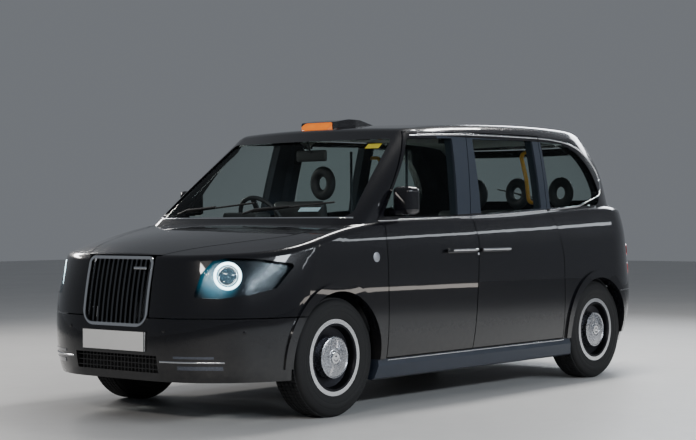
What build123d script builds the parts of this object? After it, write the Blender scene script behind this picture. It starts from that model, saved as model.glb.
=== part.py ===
# Purpose-built taxi cab at real size, in millimetres: +X forward, +Y to the cab's left, +Z up.
# The origin is on the road at the middle of the overall length.
from build123d import *
import os
from functools import cache
from math import cos, radians, sin

os.makedirs("parts", exist_ok=True)

# Chassis
wheelbase = 2985.0
front_overhang = 950.0
rear_overhang = 920.0
half_track = 805.0
tyre_radius = 355.5
tyre_width = 215.0
bead_radius = 216.0
front_axle_x = (wheelbase + rear_overhang - front_overhang) / 2
rear_axle_x = front_axle_x - wheelbase

# Body walls and gaps
wall = 65.0
door_skin = 20.0
bonnet_thickness = 40.0
glass_inset = 14.0
glass_thickness = 5.0
shut_gap = 7.0
bonnet_gap = 8.5
split_gap = 8.0
door_step = 9.0
pillar_clearance = 7.0
pillar_depth = 55.0
body_side = 1000.0

# Lower body, as plan sections. Columns: height, nose ahead of the front axle, half width,
# tail behind the rear axle, radius of the nose corners, radius of the tail corners.
lower_sections = [
    (250, 900, 898, 830, 620, 650),
    (330, 925, 914, 870, 640, 680),
    (560, 934, 933, 920, 650, 650),
    (800, 903, 932, 908, 655, 665),
    (1000, 866, 922, 882, 700, 645),
    (1120, 838, 908, 852, 700, 620),
    (1290, 800, 880, 780, 690, 580),
]
lower_bow = (30, 28)
lower_edge_radius = 50.0

# Top of the lower body, as sections across it. Columns: distance from its axle, height at the
# centre line, height at the reference half width.
bonnet_stations = [
    (1000, 925, 810),
    (850, 985, 870),
    (650, 1045, 920),
    (400, 1098, 980),
    (0, 1150, 1092),
    (-400, 1176, 1160),
]
shelf_stations = [
    (1571, 1198, 1188),
    (630, 1240, 1230),
    (100, 1272, 1262),
    (-500, 1262, 1246),
    (-1000, 1200, 1180),
]

# Greenhouse, as plan sections. Columns: height, windscreen ahead of the front axle, half width,
# tail behind the rear axle, radius of the windscreen corners, radius of the rear corners.
upper_sections = [
    (1080, 20, 896, 765, 190, 700),
    (1200, -125, 884, 745, 185, 700),
    (1400, -370, 856, 698, 180, 685),
    (1600, -620, 818, 615, 175, 670),
    (1760, -820, 782, 460, 170, 655),
    (1900, -1000, 745, 290, 165, 610),
]
upper_bow = (110, 40)
roof_edge_radius = 115.0

# Roof, as sections across it. Columns: distance from its axle, centre height, edge height.
roof_front_stations = [
    (100, 1540, 1490),
    (-300, 1660, 1605),
    (-700, 1752, 1705),
    (-1100, 1806, 1760),
]
roof_rear_stations = [
    (1385, 1838, 1792),
    (685, 1856, 1808),
    (-15, 1840, 1788),
    (-515, 1780, 1716),
    (-1000, 1660, 1580),
]
crown_half_width = 1000.0

# Wheel arches
front_arch_radius = 395.0
rear_arch_radius = 385.0
arch_lip = 14.0
arch_lip_width = 55.0
well_half_width = 455.0
rear_well_half_width = 640.0

# Panel lines, along the body
door_front_x = front_axle_x - 477
door_split_x = front_axle_x - 1450
door_rear_x = rear_axle_x + 480
sill_height = 316.0
door_bottom = sill_height + 8
front_bumper_top = 612.0
rear_bumper_top = 640.0


def plan_section(height, front, half_width, rear, front_radius, rear_radius, bow, inset):
    """One plan section: bowed front, rear and sides, with rounded corners."""
    front_end, rear_end, side = front - inset, rear + inset, half_width - inset
    front_bow, rear_bow = bow
    middle = (front_end + rear_end) / 2
    with BuildSketch(Plane.XY.offset(height)) as section:
        with BuildLine():
            ThreePointArc((rear_end + rear_bow, -side), (middle, -side - 6), (front_end - front_bow, -side))
            ThreePointArc((front_end - front_bow, -side), (front_end, 0), (front_end - front_bow, side))
            ThreePointArc((front_end - front_bow, side), (middle, side + 6), (rear_end + rear_bow, side))
            ThreePointArc((rear_end + rear_bow, side), (rear_end, 0), (rear_end + rear_bow, -side))
        make_face()
        fillet(section.vertices().group_by(Axis.X)[-1], front_radius - inset)
        fillet(section.vertices().group_by(Axis.X)[0], rear_radius - inset)
    return section.sketch


def stacked(sections, bow, inset, drop=0):
    """Solid through plan sections, drawn in by the inset and lowered at its foot by the drop."""
    with BuildPart() as stack:
        planes = []
        for index, (height, nose, half_width, tail, nose_radius, tail_radius) in enumerate(sections):
            planes.append(
                plan_section(
                    height - (drop if index == 0 else 0),
                    front_axle_x + nose,
                    half_width,
                    rear_axle_x - tail,
                    nose_radius,
                    tail_radius,
                    bow,
                    inset,
                )
            )
        loft(planes)
    return stack.part


def crowned(front_rows, rear_rows, inset, foot):
    """Solid below a surface that is arched across the body and runs through stations along it."""
    stations = [(front_axle_x + along, mid, edge) for along, mid, edge in front_rows]
    stations += [(rear_axle_x + along, mid, edge) for along, mid, edge in rear_rows]
    with BuildPart() as crown:
        planes = []
        for x, mid, edge in stations:
            with BuildSketch(Plane.YZ.offset(x)) as station:
                with BuildLine():
                    ThreePointArc(
                        (-crown_half_width, edge - inset), (0, mid - inset), (crown_half_width, edge - inset)
                    )
                    Polyline(
                        (crown_half_width, edge - inset),
                        (crown_half_width, foot),
                        (-crown_half_width, foot),
                        (-crown_half_width, edge - inset),
                    )
                make_face()
            planes.append(station.sketch)
        loft(planes)
    return crown.part


def rounded_top(form, radius):
    """Rounds the edge where the top surface meets the sides."""
    with BuildPart() as rounded:
        add(form)
        fillet(rounded.faces().sort_by(Axis.Z)[-1].edges(), radius)
    return rounded.part


@cache
def lower_form(inset):
    foot = lower_sections[0][0] - 100
    form = stacked(lower_sections, lower_bow, inset, drop=abs(inset)) & crowned(
        bonnet_stations, shelf_stations, inset, foot
    )
    return rounded_top(form, max(lower_edge_radius - inset, 8))


@cache
def upper_form(inset):
    foot = upper_sections[0][0] - 100
    form = stacked(upper_sections, upper_bow, inset, drop=abs(inset)) & crowned(
        roof_front_stations, roof_rear_stations, inset, foot
    )
    return rounded_top(form, max(roof_edge_radius - inset, 20))


def side_prism(outline, near=500.0, far=body_side + 80):
    """Prism across both sides of the body from an outline in side view, between two distances out."""
    with BuildPart() as prism:
        for out in (1, -1):
            with BuildSketch(Plane.XZ.offset(-out * near)):
                add(outline)
            extrude(amount=-out * (far - near))
    return prism.part


def side_shape(points, rounding=0.0, grow=0.0):
    """Closed outline in side view through corner points, rounded, then grown or shrunk all round."""
    with BuildSketch() as shape:
        with BuildLine():
            Polyline(*points, close=True)
        make_face()
        if rounding:
            fillet(shape.vertices(), rounding)
        if grow:
            offset(amount=grow, kind=Kind.INTERSECTION)
    return shape.sketch


def block(x0, x1, y0, y1, z0, z1):
    """Plain block between two corners."""
    with BuildPart() as plain:
        with Locations(((x0 + x1) / 2, (y0 + y1) / 2, (z0 + z1) / 2)):
            Box(abs(x1 - x0), abs(y1 - y0), abs(z1 - z0))
    return plain.part


def both_halves(form):
    return form + mirror(form, Plane.XZ)


def both_sides(form):
    """A form on the left side and its mirror image on the right."""
    with BuildPart() as pair:
        add(form)
        mirror(about=Plane.XZ)
    return pair.part


def across(x, z, radius, y0, y1):
    """Cylinder across the cab between two distances from the centre line."""
    with BuildPart() as bar:
        with BuildSketch(Plane.XZ.offset(-y0)):
            with Locations((x, z)):
                Circle(radius)
        extrude(amount=-(y1 - y0))
    return bar.part


# Outlines in side view. The windows share their sills and heads with the doors round them.
split_line = [(60, door_bottom), (-10, 1040), (38, 1190), (-52, 1752)]


def split_points(shift, reach=0.0):
    """The line between the doors, moved along the cab, and drawn out at both ends by the reach."""
    points = [[door_split_x + along + shift, height] for along, height in split_line]
    points[0][1] -= reach
    points[-1][1] += reach
    return [tuple(point) for point in points]


front_door_points = [
    (door_front_x, door_bottom),
    (door_front_x, 1130),
    (front_axle_x - 428, 1172),
    (front_axle_x - 905, 1742),
    *reversed(split_points(split_gap / 2)),
]
rear_door_points = [
    *split_points(-split_gap / 2),
    (rear_axle_x + 605, 1760),
    (rear_axle_x + 632, 1240),
    (rear_axle_x + 528, 1092),
    (door_rear_x, 900),
    (door_rear_x, door_bottom),
]
front_window_points = [
    (front_axle_x - 476, 1192),
    (front_axle_x - 880, 1694),
    (door_split_x + 116, 1712),
    (door_split_x + 180, 1199),
]
rear_window_points = [
    (door_split_x - 114, 1714),
    (door_split_x - 86, 1206),
    (rear_axle_x + 700, 1246),
    (rear_axle_x + 683, 1727),
]
window_rounding = 14.0

# Outer skin with its arch lips, and the space inside the walls
lower_skin = lower_form(0)
upper_skin = upper_form(0)
lower_space = lower_form(wall)
upper_space = upper_form(wall)
cabin_space = lower_space + upper_space

wheel_sites = [
    ("front", front_axle_x, front_arch_radius, well_half_width),
    ("rear", rear_axle_x, rear_arch_radius, rear_well_half_width),
]
lips = stacked(lower_sections, lower_bow, -arch_lip)
for name, x, radius, inboard in wheel_sites:
    ring = across(x, tyre_radius, radius + arch_lip_width, 700, body_side + 80)
    lip = lips & (ring + mirror(ring, Plane.XZ)) & block(x - 700, x + 700, -1100, 1100, sill_height, 900)
    lower_skin = lower_skin + lip
arch_space = None
for name, x, radius, inboard in wheel_sites:
    hole = across(x, tyre_radius, radius, inboard, body_side + 80)
    hole = hole + mirror(hole, Plane.XZ)
    arch_space = hole if arch_space is None else arch_space + hole
lower_skin = lower_skin - arch_space

# Windscreen and tailgate outlines, seen from the front
windscreen_points = [(-832, 1192), (-690, 1694), (690, 1694), (832, 1192)]
tail_window_points = [(-585, 1318), (-520, 1668), (520, 1668), (585, 1318)]
tailgate_top = 1722.0
tailgate_bottom = rear_bumper_top + 2
tailgate_points = [
    (-660, tailgate_bottom),
    (-680, 1240),
    (-575, tailgate_top),
    (575, tailgate_top),
    (680, 1240),
    (660, tailgate_bottom),
]
grille_half_width = 277.0
grille_bottom = 561.0
grille_top = 968.0
lower_grille_half_width = 345.0
lower_grille_bottom = 300.0
lower_grille_top = 400.0


def end_prism(points, rounding, x0, x1, grow=0.0):
    """Prism along the body from an outline seen from the front."""
    with BuildPart() as prism:
        with BuildSketch(Plane.YZ.offset(x0)) as face:
            with BuildLine():
                Polyline(*points, close=True)
            make_face()
            if rounding:
                fillet(face.vertices(), rounding)
            if grow:
                offset(amount=grow, kind=Kind.INTERSECTION)
        extrude(amount=x1 - x0)
    return prism.part


def grille_prism(grow, x0, x1):
    """Prism of the grille's outline, with wider corners at its foot."""
    with BuildPart() as prism:
        with BuildSketch(Plane.YZ.offset(x0)) as face:
            with BuildLine():
                Polyline(
                    (-grille_half_width, grille_bottom),
                    (grille_half_width, grille_bottom),
                    (grille_half_width, grille_top),
                    (-grille_half_width, grille_top),
                    close=True,
                )
            make_face()
            fillet(face.vertices().group_by(Axis.Y)[0], 95)
            fillet(face.vertices().group_by(Axis.Y)[-1], 45)
            if grow:
                offset(amount=grow)
        extrude(amount=x1 - x0)
    return prism.part


def plan_prism(points_left, z0, z1, grow=0.0):
    """Upright prism from the left half of an outline seen from above, mirrored to the right."""
    with BuildPart() as prism:
        with BuildSketch(Plane.XY.offset(z0)):
            with BuildLine():
                Polyline(*points_left, close=True)
            make_face()
            mirror(about=Plane.XZ)
            if grow:
                offset(amount=grow, kind=Kind.INTERSECTION)
        extrude(amount=z1 - z0)
    return prism.part


nose_end = front_axle_x + front_overhang + 40
cowl_x = front_axle_x - 60
bonnet_points = [
    (cowl_x + 50, 0),
    (cowl_x - 50, 795),
    (front_axle_x + 200, 715),
    (front_axle_x + 560, 512),
    (front_axle_x + 870, 292),
    (nose_end, 282),
    (nose_end, 0),
]
bonnet_foot = grille_top + 8
wing_points = [
    (door_front_x + shut_gap, 838),
    (door_front_x + shut_gap, body_side),
    (nose_end, body_side),
    (nose_end, grille_half_width + shut_gap),
    (front_axle_x + 820, grille_half_width + shut_gap),
    (front_axle_x + 560, 512),
    (front_axle_x + 200, 715),
    (cowl_x - 50, 795),
    (cowl_x - 50, 838),
]

front_bumper_zone = block(front_axle_x + 150, nose_end, -body_side, body_side, 100, front_bumper_top)
rear_bumper_zone = block(-nose_end - 100, rear_axle_x - 150, -body_side, body_side, 100, rear_bumper_top)
bonnet_zone = plan_prism(bonnet_points, bonnet_foot, 1300)
wing_zone = plan_prism(wing_points, 200, 1300) - block(
    front_axle_x + 150 - shut_gap, nose_end, -body_side, body_side, 100, front_bumper_top + shut_gap
) - plan_prism(bonnet_points, bonnet_foot - shut_gap, 1310, grow=bonnet_gap)
front_zone_points = [
    (door_front_x, 832),
    (door_front_x, body_side),
    (nose_end + 10, body_side),
    (nose_end + 10, 0),
    (cowl_x + 44, 0),
    (cowl_x - 56, 801),
    (cowl_x - 56, 832),
]
front_zone = plan_prism(front_zone_points, 100, 1310)
door_inner_y = 690.0
opening_inner_y = door_inner_y - 10
front_door_zone = side_prism(side_shape(front_door_points), near=door_inner_y)
rear_door_zone = side_prism(side_shape(rear_door_points), near=door_inner_y)
front_door_opening = side_prism(side_shape(front_door_points, grow=shut_gap), near=opening_inner_y)
rear_door_opening = side_prism(side_shape(rear_door_points, grow=shut_gap), near=opening_inner_y)
front_window = side_prism(side_shape(front_window_points, window_rounding))
rear_window = side_prism(side_shape(rear_window_points, window_rounding))
with BuildSketch() as quarter_outline:
    with BuildLine():
        Line((rear_axle_x + 571, 1724), (rear_axle_x + 582, 1252))
        Line((rear_axle_x + 582, 1252), (rear_axle_x - 30, 1272))
        ThreePointArc((rear_axle_x - 30, 1272), (rear_axle_x - 103, 1302), (rear_axle_x - 130, 1378))
        ThreePointArc((rear_axle_x - 130, 1378), (rear_axle_x + 45, 1612), (rear_axle_x + 330, 1716))
        Line((rear_axle_x + 330, 1716), (rear_axle_x + 571, 1724))
    make_face()
    fillet(quarter_outline.vertices().group_by(Axis.X)[-1], window_rounding)
quarter_window = side_prism(quarter_outline.sketch)
windscreen_hole = end_prism(windscreen_points, 40, front_axle_x - 950, front_axle_x + 100)
tail_window = end_prism(tail_window_points, 60, rear_axle_x - 1000, rear_axle_x - 230)
tailgate_zone = end_prism(tailgate_points, 45, rear_axle_x - 1000, rear_axle_x - 230)
tailgate_opening = end_prism(tailgate_points, 45, rear_axle_x - 1000, rear_axle_x - 225, grow=shut_gap)
lower_grille_hole = block(
    front_axle_x + 780,
    nose_end,
    -lower_grille_half_width,
    lower_grille_half_width,
    lower_grille_bottom,
    lower_grille_top,
)

left_half = block(-3000, 3000, 0, 1200, 0, 2000)

# The whole body, hollow, from which the panels with a cabin behind them are cut
hollow_body = lower_skin + upper_skin - cabin_space

# Glass lies in one layer a little inside the skin
glass_layer = upper_form(glass_inset) - upper_form(glass_inset + glass_thickness)

pieces = []


def keep(made, name):
    """Labels a finished piece and lists it for export."""
    piece = made.part if isinstance(made, BuildPart) else made
    piece.label = name
    pieces.append(piece)


# Lines that several pieces share
sill_inner = 760.0
sill_bottom = 190.0
sill_front_x = front_axle_x - 330
sill_rear_x = rear_axle_x + 330
sill_strip = block(sill_rear_x, sill_front_x, -body_side, body_side, 0, sill_height)
floor_height = sill_height + 40
post_width = 84.0
post_points = [
    (door_split_x + 60 - post_width / 2, sill_height),
    (door_split_x + 60 + post_width / 2, sill_height),
    (door_split_x + 10 + post_width / 2, 1100),
    (door_split_x - 50 + post_width / 2, 1800),
    (door_split_x - 50 - post_width / 2, 1800),
    (door_split_x + 10 - post_width / 2, 1100),
]
header_height = 1738.0


def door_post():
    """Posts between the doors, inside their skins, carried by the roof's rails."""
    line = side_prism(side_shape(post_points), near=600)
    outer_inset = wall + pillar_clearance
    inner_inset = outer_inset + pillar_depth
    outer = lower_form(outer_inset) + upper_form(outer_inset)
    inner = lower_form(inner_inset) + upper_form(inner_inset)
    post = (outer - inner) & line
    top = (upper_form(wall / 2) - upper_form(inner_inset)) & line
    return post + (top & block(-3000, 3000, 8 - opening_inner_y, opening_inner_y - 8, header_height, 2000))


# Body shell: roof, pillars, rear quarters, scuttle and the posts between the doors
with BuildPart() as body_shell:
    add(hollow_body)
    add(front_zone - upper_skin, mode=Mode.SUBTRACT)
    add([front_door_opening, rear_door_opening, quarter_window], mode=Mode.SUBTRACT)
    add([windscreen_hole, tailgate_opening, rear_bumper_zone, sill_strip], mode=Mode.SUBTRACT)
    add(door_post())
keep(body_shell, "body_shell")

lamp_turn = radians(38)
headlamp_plane = Plane(
    origin=(front_axle_x + 700, 700, 860),
    x_dir=(-sin(lamp_turn), cos(lamp_turn), 0),
    z_dir=(cos(lamp_turn), sin(lamp_turn), 0),
)
headlamp_points = [
    (-198, -125),
    (-155, 10),
    (-90, 82),
    (-10, 98),
    (90, 96),
    (200, 88),
    (380, 62),
    (272, -76),
    (105, -113),
    (-50, -131),
]


# Prism of the left headlamp's outline, square to the rounded corner
with BuildPart() as headlamp_hole:
    with BuildSketch(headlamp_plane.offset(-220)) as outline:
        with BuildLine():
            Polyline(*headlamp_points, close=True)
        make_face()
        fillet(outline.vertices(), 18)
    extrude(amount=420)

hollow_lower = lower_skin - lower_space
with BuildPart() as wing:
    add(hollow_lower)
    add(wing_zone & left_half, mode=Mode.INTERSECT)
    add(front_door_opening, mode=Mode.SUBTRACT)
    add(stacked(upper_sections, upper_bow, -2, drop=2), mode=Mode.SUBTRACT)
    add([sill_strip, headlamp_hole.part], mode=Mode.SUBTRACT)
keep(both_sides(wing.part), "front_wings")

cowl_gap = 20.0
with BuildPart() as bonnet:
    add(lower_skin)
    add(bonnet_zone, mode=Mode.INTERSECT)
    add(lower_form(bonnet_thickness), mode=Mode.SUBTRACT)
    add(stacked(upper_sections, upper_bow, -cowl_gap, drop=cowl_gap), mode=Mode.SUBTRACT)
keep(bonnet, "bonnet")

with BuildPart() as front_bumper:
    add(hollow_lower)
    add(front_bumper_zone, mode=Mode.INTERSECT)
    add(grille_prism(2, front_axle_x + 700, nose_end), mode=Mode.SUBTRACT)
    add(lower_grille_hole, mode=Mode.SUBTRACT)
keep(front_bumper, "front_bumper")

with BuildPart() as rear_bumper:
    add(hollow_lower)
    add(
        block(-nose_end - 100, rear_axle_x - 150, -body_side, body_side, 100, rear_bumper_top - shut_gap),
        mode=Mode.INTERSECT,
    )
keep(rear_bumper, "rear_bumper")

with BuildPart() as tailgate:
    add(hollow_body)
    add(tailgate_zone, mode=Mode.INTERSECT)
    add(tail_window, mode=Mode.SUBTRACT)
keep(tailgate, "tailgate")

# Grille: bright frame over the nose, with upright slats set back inside it. Both are curved in
# side view like the nose, by the same three points.
grille_frame_width = 18.0
grille_proud = 8.0
grille_depth = 30.0
slat_setback = 6.0
slat_count = 13
slat_width = 14.0
slat_pitch = 2 * (grille_half_width - grille_frame_width) / slat_count


def nose_face(proud):
    """Ends and middle of the nose's curve in side view, this far ahead of the skin."""
    return [(front_axle_x + along + proud, height) for along, height in ((934, 545), (900, 800), (859, 985))]


def nose_sheet(half_width, proud, depth, middle=0.0):
    """Sheet that follows the nose in side view and runs straight across."""
    front, back = nose_face(proud), nose_face(proud - depth)
    with BuildPart() as sheet:
        with BuildSketch(Plane.XZ.offset(-middle - half_width)):
            with BuildLine():
                ThreePointArc(*front)
                Line(front[-1], back[-1])
                ThreePointArc(*back)
                Line(back[0], front[0])
            make_face()
        extrude(amount=2 * half_width)
    return sheet.part


with BuildPart() as grille:
    add(nose_sheet(grille_half_width + 5, grille_proud, grille_proud + grille_depth))
    add(grille_prism(0, front_axle_x + 700, nose_end), mode=Mode.INTERSECT)
    add(grille_prism(-grille_frame_width, front_axle_x + 690, nose_end + 10), mode=Mode.SUBTRACT)
slat_zone = grille_prism(-grille_frame_width / 2, front_axle_x + 700, nose_end)
with BuildPart() as slats:
    for index in range(slat_count):
        middle = (index - (slat_count - 1) / 2) * slat_pitch
        add(nose_sheet(slat_width / 2, -slat_setback, grille_depth - slat_setback - 4, middle))
    add(slat_zone, mode=Mode.INTERSECT)
with BuildPart() as slatted_grille:
    add(grille)
    add(slats)
keep(slatted_grille, "grille")

# Lower grille: a lattice between the bumper's edges
lattice_pitch = 30.0
lattice_rows = 3
lattice_columns = 21
lattice_bar = 5.0
lattice_depth = 14.0
with BuildPart() as lower_grille:
    with BuildSketch(Plane.YZ.offset(front_axle_x + 896)):
        with Locations((0, (lower_grille_bottom + lower_grille_top) / 2)):
            with GridLocations(1, lattice_pitch, 1, lattice_rows):
                Rectangle(2 * lower_grille_half_width, lattice_bar)
            with GridLocations(lattice_pitch, 1, lattice_columns, 1):
                Rectangle(lattice_bar, lower_grille_top - lower_grille_bottom)
    extrude(amount=lattice_depth)
keep(lower_grille, "lower_grille")

# Headlamps: a bowl with a ring and a lens, closed by a clear cover
cover_inset = 3.0
cover_thickness = 5.0
bowl_depth = 30.0
with BuildPart() as lamp_bowl:
    add(headlamp_hole)
    add(lower_form(cover_inset + cover_thickness + bowl_depth), mode=Mode.INTERSECT)
    add(lower_space, mode=Mode.SUBTRACT)
keep(both_sides(lamp_bowl.part), "headlamp_bowls")
with BuildPart() as lamp_cover:
    add(headlamp_hole)
    add(lower_form(cover_inset), mode=Mode.INTERSECT)
    add(lower_form(cover_inset + cover_thickness), mode=Mode.SUBTRACT)
keep(both_sides(lamp_cover.part), "headlamp_covers")

# Doors in one skin with their window frames, and a long handle on each. Behind the skin, both
# doors are stepped back along the line between them, to pass each other as they open.
step_outline = [
    *split_points(split_gap / 2 + door_step, reach=20),
    *reversed(split_points(-split_gap / 2 - door_step, reach=20)),
]
edge_step = side_prism(side_shape(step_outline)) & (lower_form(door_skin) + upper_form(door_skin))
handle_height = 970.0
handle_length = 330.0
handle_out = 950.0
with BuildPart() as handle_bar:
    Box(handle_length, 15, 26)
    fillet(handle_bar.edges().filter_by(Axis.Y), 11)
    fillet(handle_bar.edges().filter_by(Axis.Y, reverse=True), 5)
handle_bar = handle_bar.part
for name, zone, window, handle_x in (
    ("front", front_door_zone, front_window, door_split_x + 30 + handle_length / 2 + 20),
    ("rear", rear_door_zone, rear_window, door_split_x - handle_length / 2 - 10),
):
    with BuildPart() as doors:
        add(hollow_body)
        add(zone, mode=Mode.INTERSECT)
        add([window, edge_step], mode=Mode.SUBTRACT)
    with BuildPart() as door_glasses:
        add(glass_layer)
        add(window, mode=Mode.INTERSECT)
    for label, out in (("left", 1), ("right", -1)):
        with BuildPart() as door:
            add([half for half in doors.solids() if half.center().Y * out > 0])
            add(Location((handle_x, out * handle_out, handle_height)) * handle_bar)
            with Locations(
                (handle_x - handle_length / 2 + 30, out * (handle_out - 24), handle_height),
                (handle_x + handle_length / 2 - 30, out * (handle_out - 24), handle_height),
            ):
                Box(30, 50, 20)
        keep(door, f"door_{name}_{label}")
        with BuildPart() as door_glass:
            add([half for half in door_glasses.solids() if half.center().Y * out > 0])
        keep(door_glass, f"glass_{name}_{label}")

with BuildPart() as quarter_glass:
    add(glass_layer)
    add(quarter_window, mode=Mode.INTERSECT)
keep(quarter_glass, "quarter_glass")
with BuildPart() as windscreen:
    add(glass_layer)
    add(windscreen_hole, mode=Mode.INTERSECT)
keep(windscreen, "windscreen")
with BuildPart() as tail_glass:
    add(glass_layer)
    add(tail_window, mode=Mode.INTERSECT)
keep(tail_glass, "tailgate_glass")

# Door mirrors, each on a short arm from the front corner of its window
mirror_x = front_axle_x - 640
mirror_height = 1292.0
mirror_reach = 1018.0
for label, out in (("left", 1), ("right", -1)):
    with BuildPart() as mirror_housing:
        with Locations((mirror_x, out * (mirror_reach - 72), mirror_height)):
            Box(120, 144, 176)
        fillet(mirror_housing.edges(), 34)
        with Locations((mirror_x + 60, out * 905, mirror_height - 75)):
            Box(70, 60, 26)
        add(upper_form(0.5), mode=Mode.SUBTRACT)
        add(lower_form(0), mode=Mode.SUBTRACT)
    keep(mirror_housing, f"mirror_{label}")

# Side sills
sill_outer = 914.0
with BuildPart() as side_sills:
    with BuildSketch(Plane.YZ.offset(sill_rear_x)) as sill_section:
        with BuildLine():
            Polyline(
                (sill_inner, sill_height),
                (sill_outer, sill_height),
                (sill_outer + 8, sill_height - 40),
                (sill_outer - 8, sill_bottom + 12),
                (sill_outer - 30, sill_bottom),
                (sill_inner, sill_bottom + 20),
                close=True,
            )
        make_face()
    extrude(amount=sill_front_x - sill_rear_x)
    add(arch_space, mode=Mode.SUBTRACT)
    mirror(about=Plane.XZ)
keep(side_sills, "side_sills")

# Floor: one pan from the bulkhead to the tail, with the bulkhead and the rear wheel housings on it
bulkhead_x = front_axle_x - 330
bulkhead_thickness = 40.0
floor_inset = wall + pillar_clearance + pillar_depth + 2
floor_space = lower_form(floor_inset)
housing_thickness = 10.0
platform_height = 560.0
platform_x = rear_axle_x + 420
floor_thickness = floor_height - sill_height
inner_lower = lower_form(wall + 1)
inner_upper = upper_form(wall + 1)
plain_upper = upper_form(0)
housings = (
    across(rear_axle_x, tyre_radius, rear_arch_radius + housing_thickness, rear_well_half_width - 10, 850)
    & block(-3000, platform_x + 50, 0, 1000, sill_height, 900)
) + (
    across(front_axle_x, tyre_radius, front_arch_radius + housing_thickness, well_half_width - 10, 850)
    & block(-3000, bulkhead_x, 0, 1000, sill_height, 900)
)
door_gap = block(platform_x, door_front_x + shut_gap, sill_inner + 30, body_side, 0, 2000)
axle_hub_radius = 75.0
axle_hole = across(rear_axle_x, tyre_radius, axle_hub_radius + 15, 600, 900)
with BuildPart() as floor_pan:
    add(block(platform_x - floor_thickness, bulkhead_x, -body_side, body_side, sill_height, floor_height))
    add(block(platform_x - floor_thickness, platform_x, -body_side, body_side, sill_height, platform_height))
    platform_bottom = platform_height - floor_thickness
    add(block(-nose_end, platform_x, -body_side, body_side, platform_bottom, platform_height))
    add(block(bulkhead_x - bulkhead_thickness, bulkhead_x, -body_side, body_side, sill_height, 1300))
    add(both_halves(door_gap), mode=Mode.SUBTRACT)
    add(both_halves(housings))
    add(inner_lower + inner_upper, mode=Mode.INTERSECT)
    add(plain_upper, mode=Mode.SUBTRACT)
    add(arch_space, mode=Mode.SUBTRACT)
    add(both_halves(axle_hole), mode=Mode.SUBTRACT)
keep(floor_pan, "floor_pan")

# Roof sign: a low pod on the roof with an amber lens across its front
sign_front_x = front_axle_x - 850
sign_rear_x = front_axle_x - 1520
sign_half_width = 152.0
sign_tail_half_width = 60.0
overall_height = 1852.0
lens_depth = 120.0
lens_half_width = 136.0
sign_base = 1700.0
with BuildPart() as sign:
    with BuildSketch(Plane.XZ.offset(-sign_half_width - 20)) as sign_side:
        with BuildLine():
            Polyline(
                (sign_front_x + 30, sign_base),
                (sign_front_x - 10, overall_height - 78),
                (sign_front_x - 60, overall_height - 20),
                (sign_front_x - 190, overall_height),
                (sign_front_x - 330, overall_height),
                (sign_rear_x - 20, overall_height - 46),
                (sign_rear_x - 20, sign_base),
                close=True,
            )
        make_face()
        fillet(sign_side.vertices(), 30)
    extrude(amount=2 * sign_half_width + 40)
    with BuildSketch(Plane.XY.offset(sign_base + 10)) as sign_plan:
        with BuildLine():
            Polyline(
                (sign_front_x - 45, sign_half_width),
                (sign_front_x, 70),
                (sign_front_x, -70),
                (sign_front_x - 45, -sign_half_width),
                (sign_front_x - 260, -sign_half_width),
                (sign_rear_x, -sign_tail_half_width),
                (sign_rear_x, sign_tail_half_width),
                (sign_front_x - 260, sign_half_width),
                close=True,
            )
        make_face()
        fillet(sign_plan.vertices(), 36)
    extrude(amount=300, mode=Mode.INTERSECT)
    add(plain_upper, mode=Mode.SUBTRACT)
with BuildPart() as lens_zone:
    with BuildSketch(Plane.YZ.offset(sign_front_x - lens_depth)):
        with Locations((0, overall_height - 24 - lens_depth / 2)):
            RectangleRounded(2 * lens_half_width, lens_depth, 34)
    extrude(amount=lens_depth + 50)
with BuildPart() as roof_sign:
    add(sign)
    add(lens_zone, mode=Mode.SUBTRACT)
keep(roof_sign, "roof_sign")
with BuildPart() as sign_lens:
    add(sign)
    add(lens_zone, mode=Mode.INTERSECT)
keep(sign_lens, "sign_lens")

# Tail lamps on the rear corners
with BuildPart() as lamp_area:
    with BuildSketch(Plane.YZ.offset(rear_axle_x - 1100)):
        with Locations((770, 930), (770, 790)):
            Circle(58)
    extrude(amount=500)
    mirror(about=Plane.XZ)
with BuildPart() as tail_lamps:
    add(stacked(lower_sections, lower_bow, -6))
    add(lamp_area, mode=Mode.INTERSECT)
    add(lower_form(0), mode=Mode.SUBTRACT)
keep(tail_lamps, "tail_lamps")

# Blank front plate on the bumper
plate_x = front_axle_x + front_overhang
with BuildPart() as front_plate:
    with Locations((plate_x - 8, 0, 478)):
        Box(16, 520, 111)
    add(lower_form(0), mode=Mode.SUBTRACT)
keep(front_plate, "front_plate")

# Cabin pieces
driver_y = -400.0
column_tilt = 30.0
column_radius = 12.0
shroud_radius = 44.0
wheel_centre = (front_axle_x - 770, driver_y, 1170)
column = Plane(
    origin=wheel_centre,
    x_dir=(0, 1, 0),
    z_dir=(-cos(radians(column_tilt)), 0, sin(radians(column_tilt))),
)
pin_clearance = 0.5
trim_space = lower_form(wall + 10) + upper_form(wall + 10)
with BuildPart() as dashboard:
    with BuildSketch(Plane.XZ.offset(-760)):
        with BuildLine():
            Polyline(
                (bulkhead_x - bulkhead_thickness, 760),
                (bulkhead_x - bulkhead_thickness, 1120),
                (bulkhead_x - 120, 1165),
                (bulkhead_x - 330, 1120),
                (bulkhead_x - 400, 960),
                (bulkhead_x - 300, 780),
                close=True,
            )
        make_face()
    extrude(amount=1520)
    add(trim_space, mode=Mode.INTERSECT)
    with BuildSketch(column.offset(-200)):
        Circle(shroud_radius)
    extrude(amount=160)
    with BuildSketch(column.offset(-200)):
        Circle(column_radius + pin_clearance)
    extrude(amount=160, mode=Mode.SUBTRACT)
keep(dashboard, "dashboard")

partition_x = door_split_x - 70
with BuildPart() as partition:
    add(floor_space + upper_form(floor_inset))
    add(
        block(partition_x - 30, partition_x, -sill_inner, sill_inner, floor_height, 1900),
        mode=Mode.INTERSECT,
    )
keep(partition, "partition")


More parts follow.
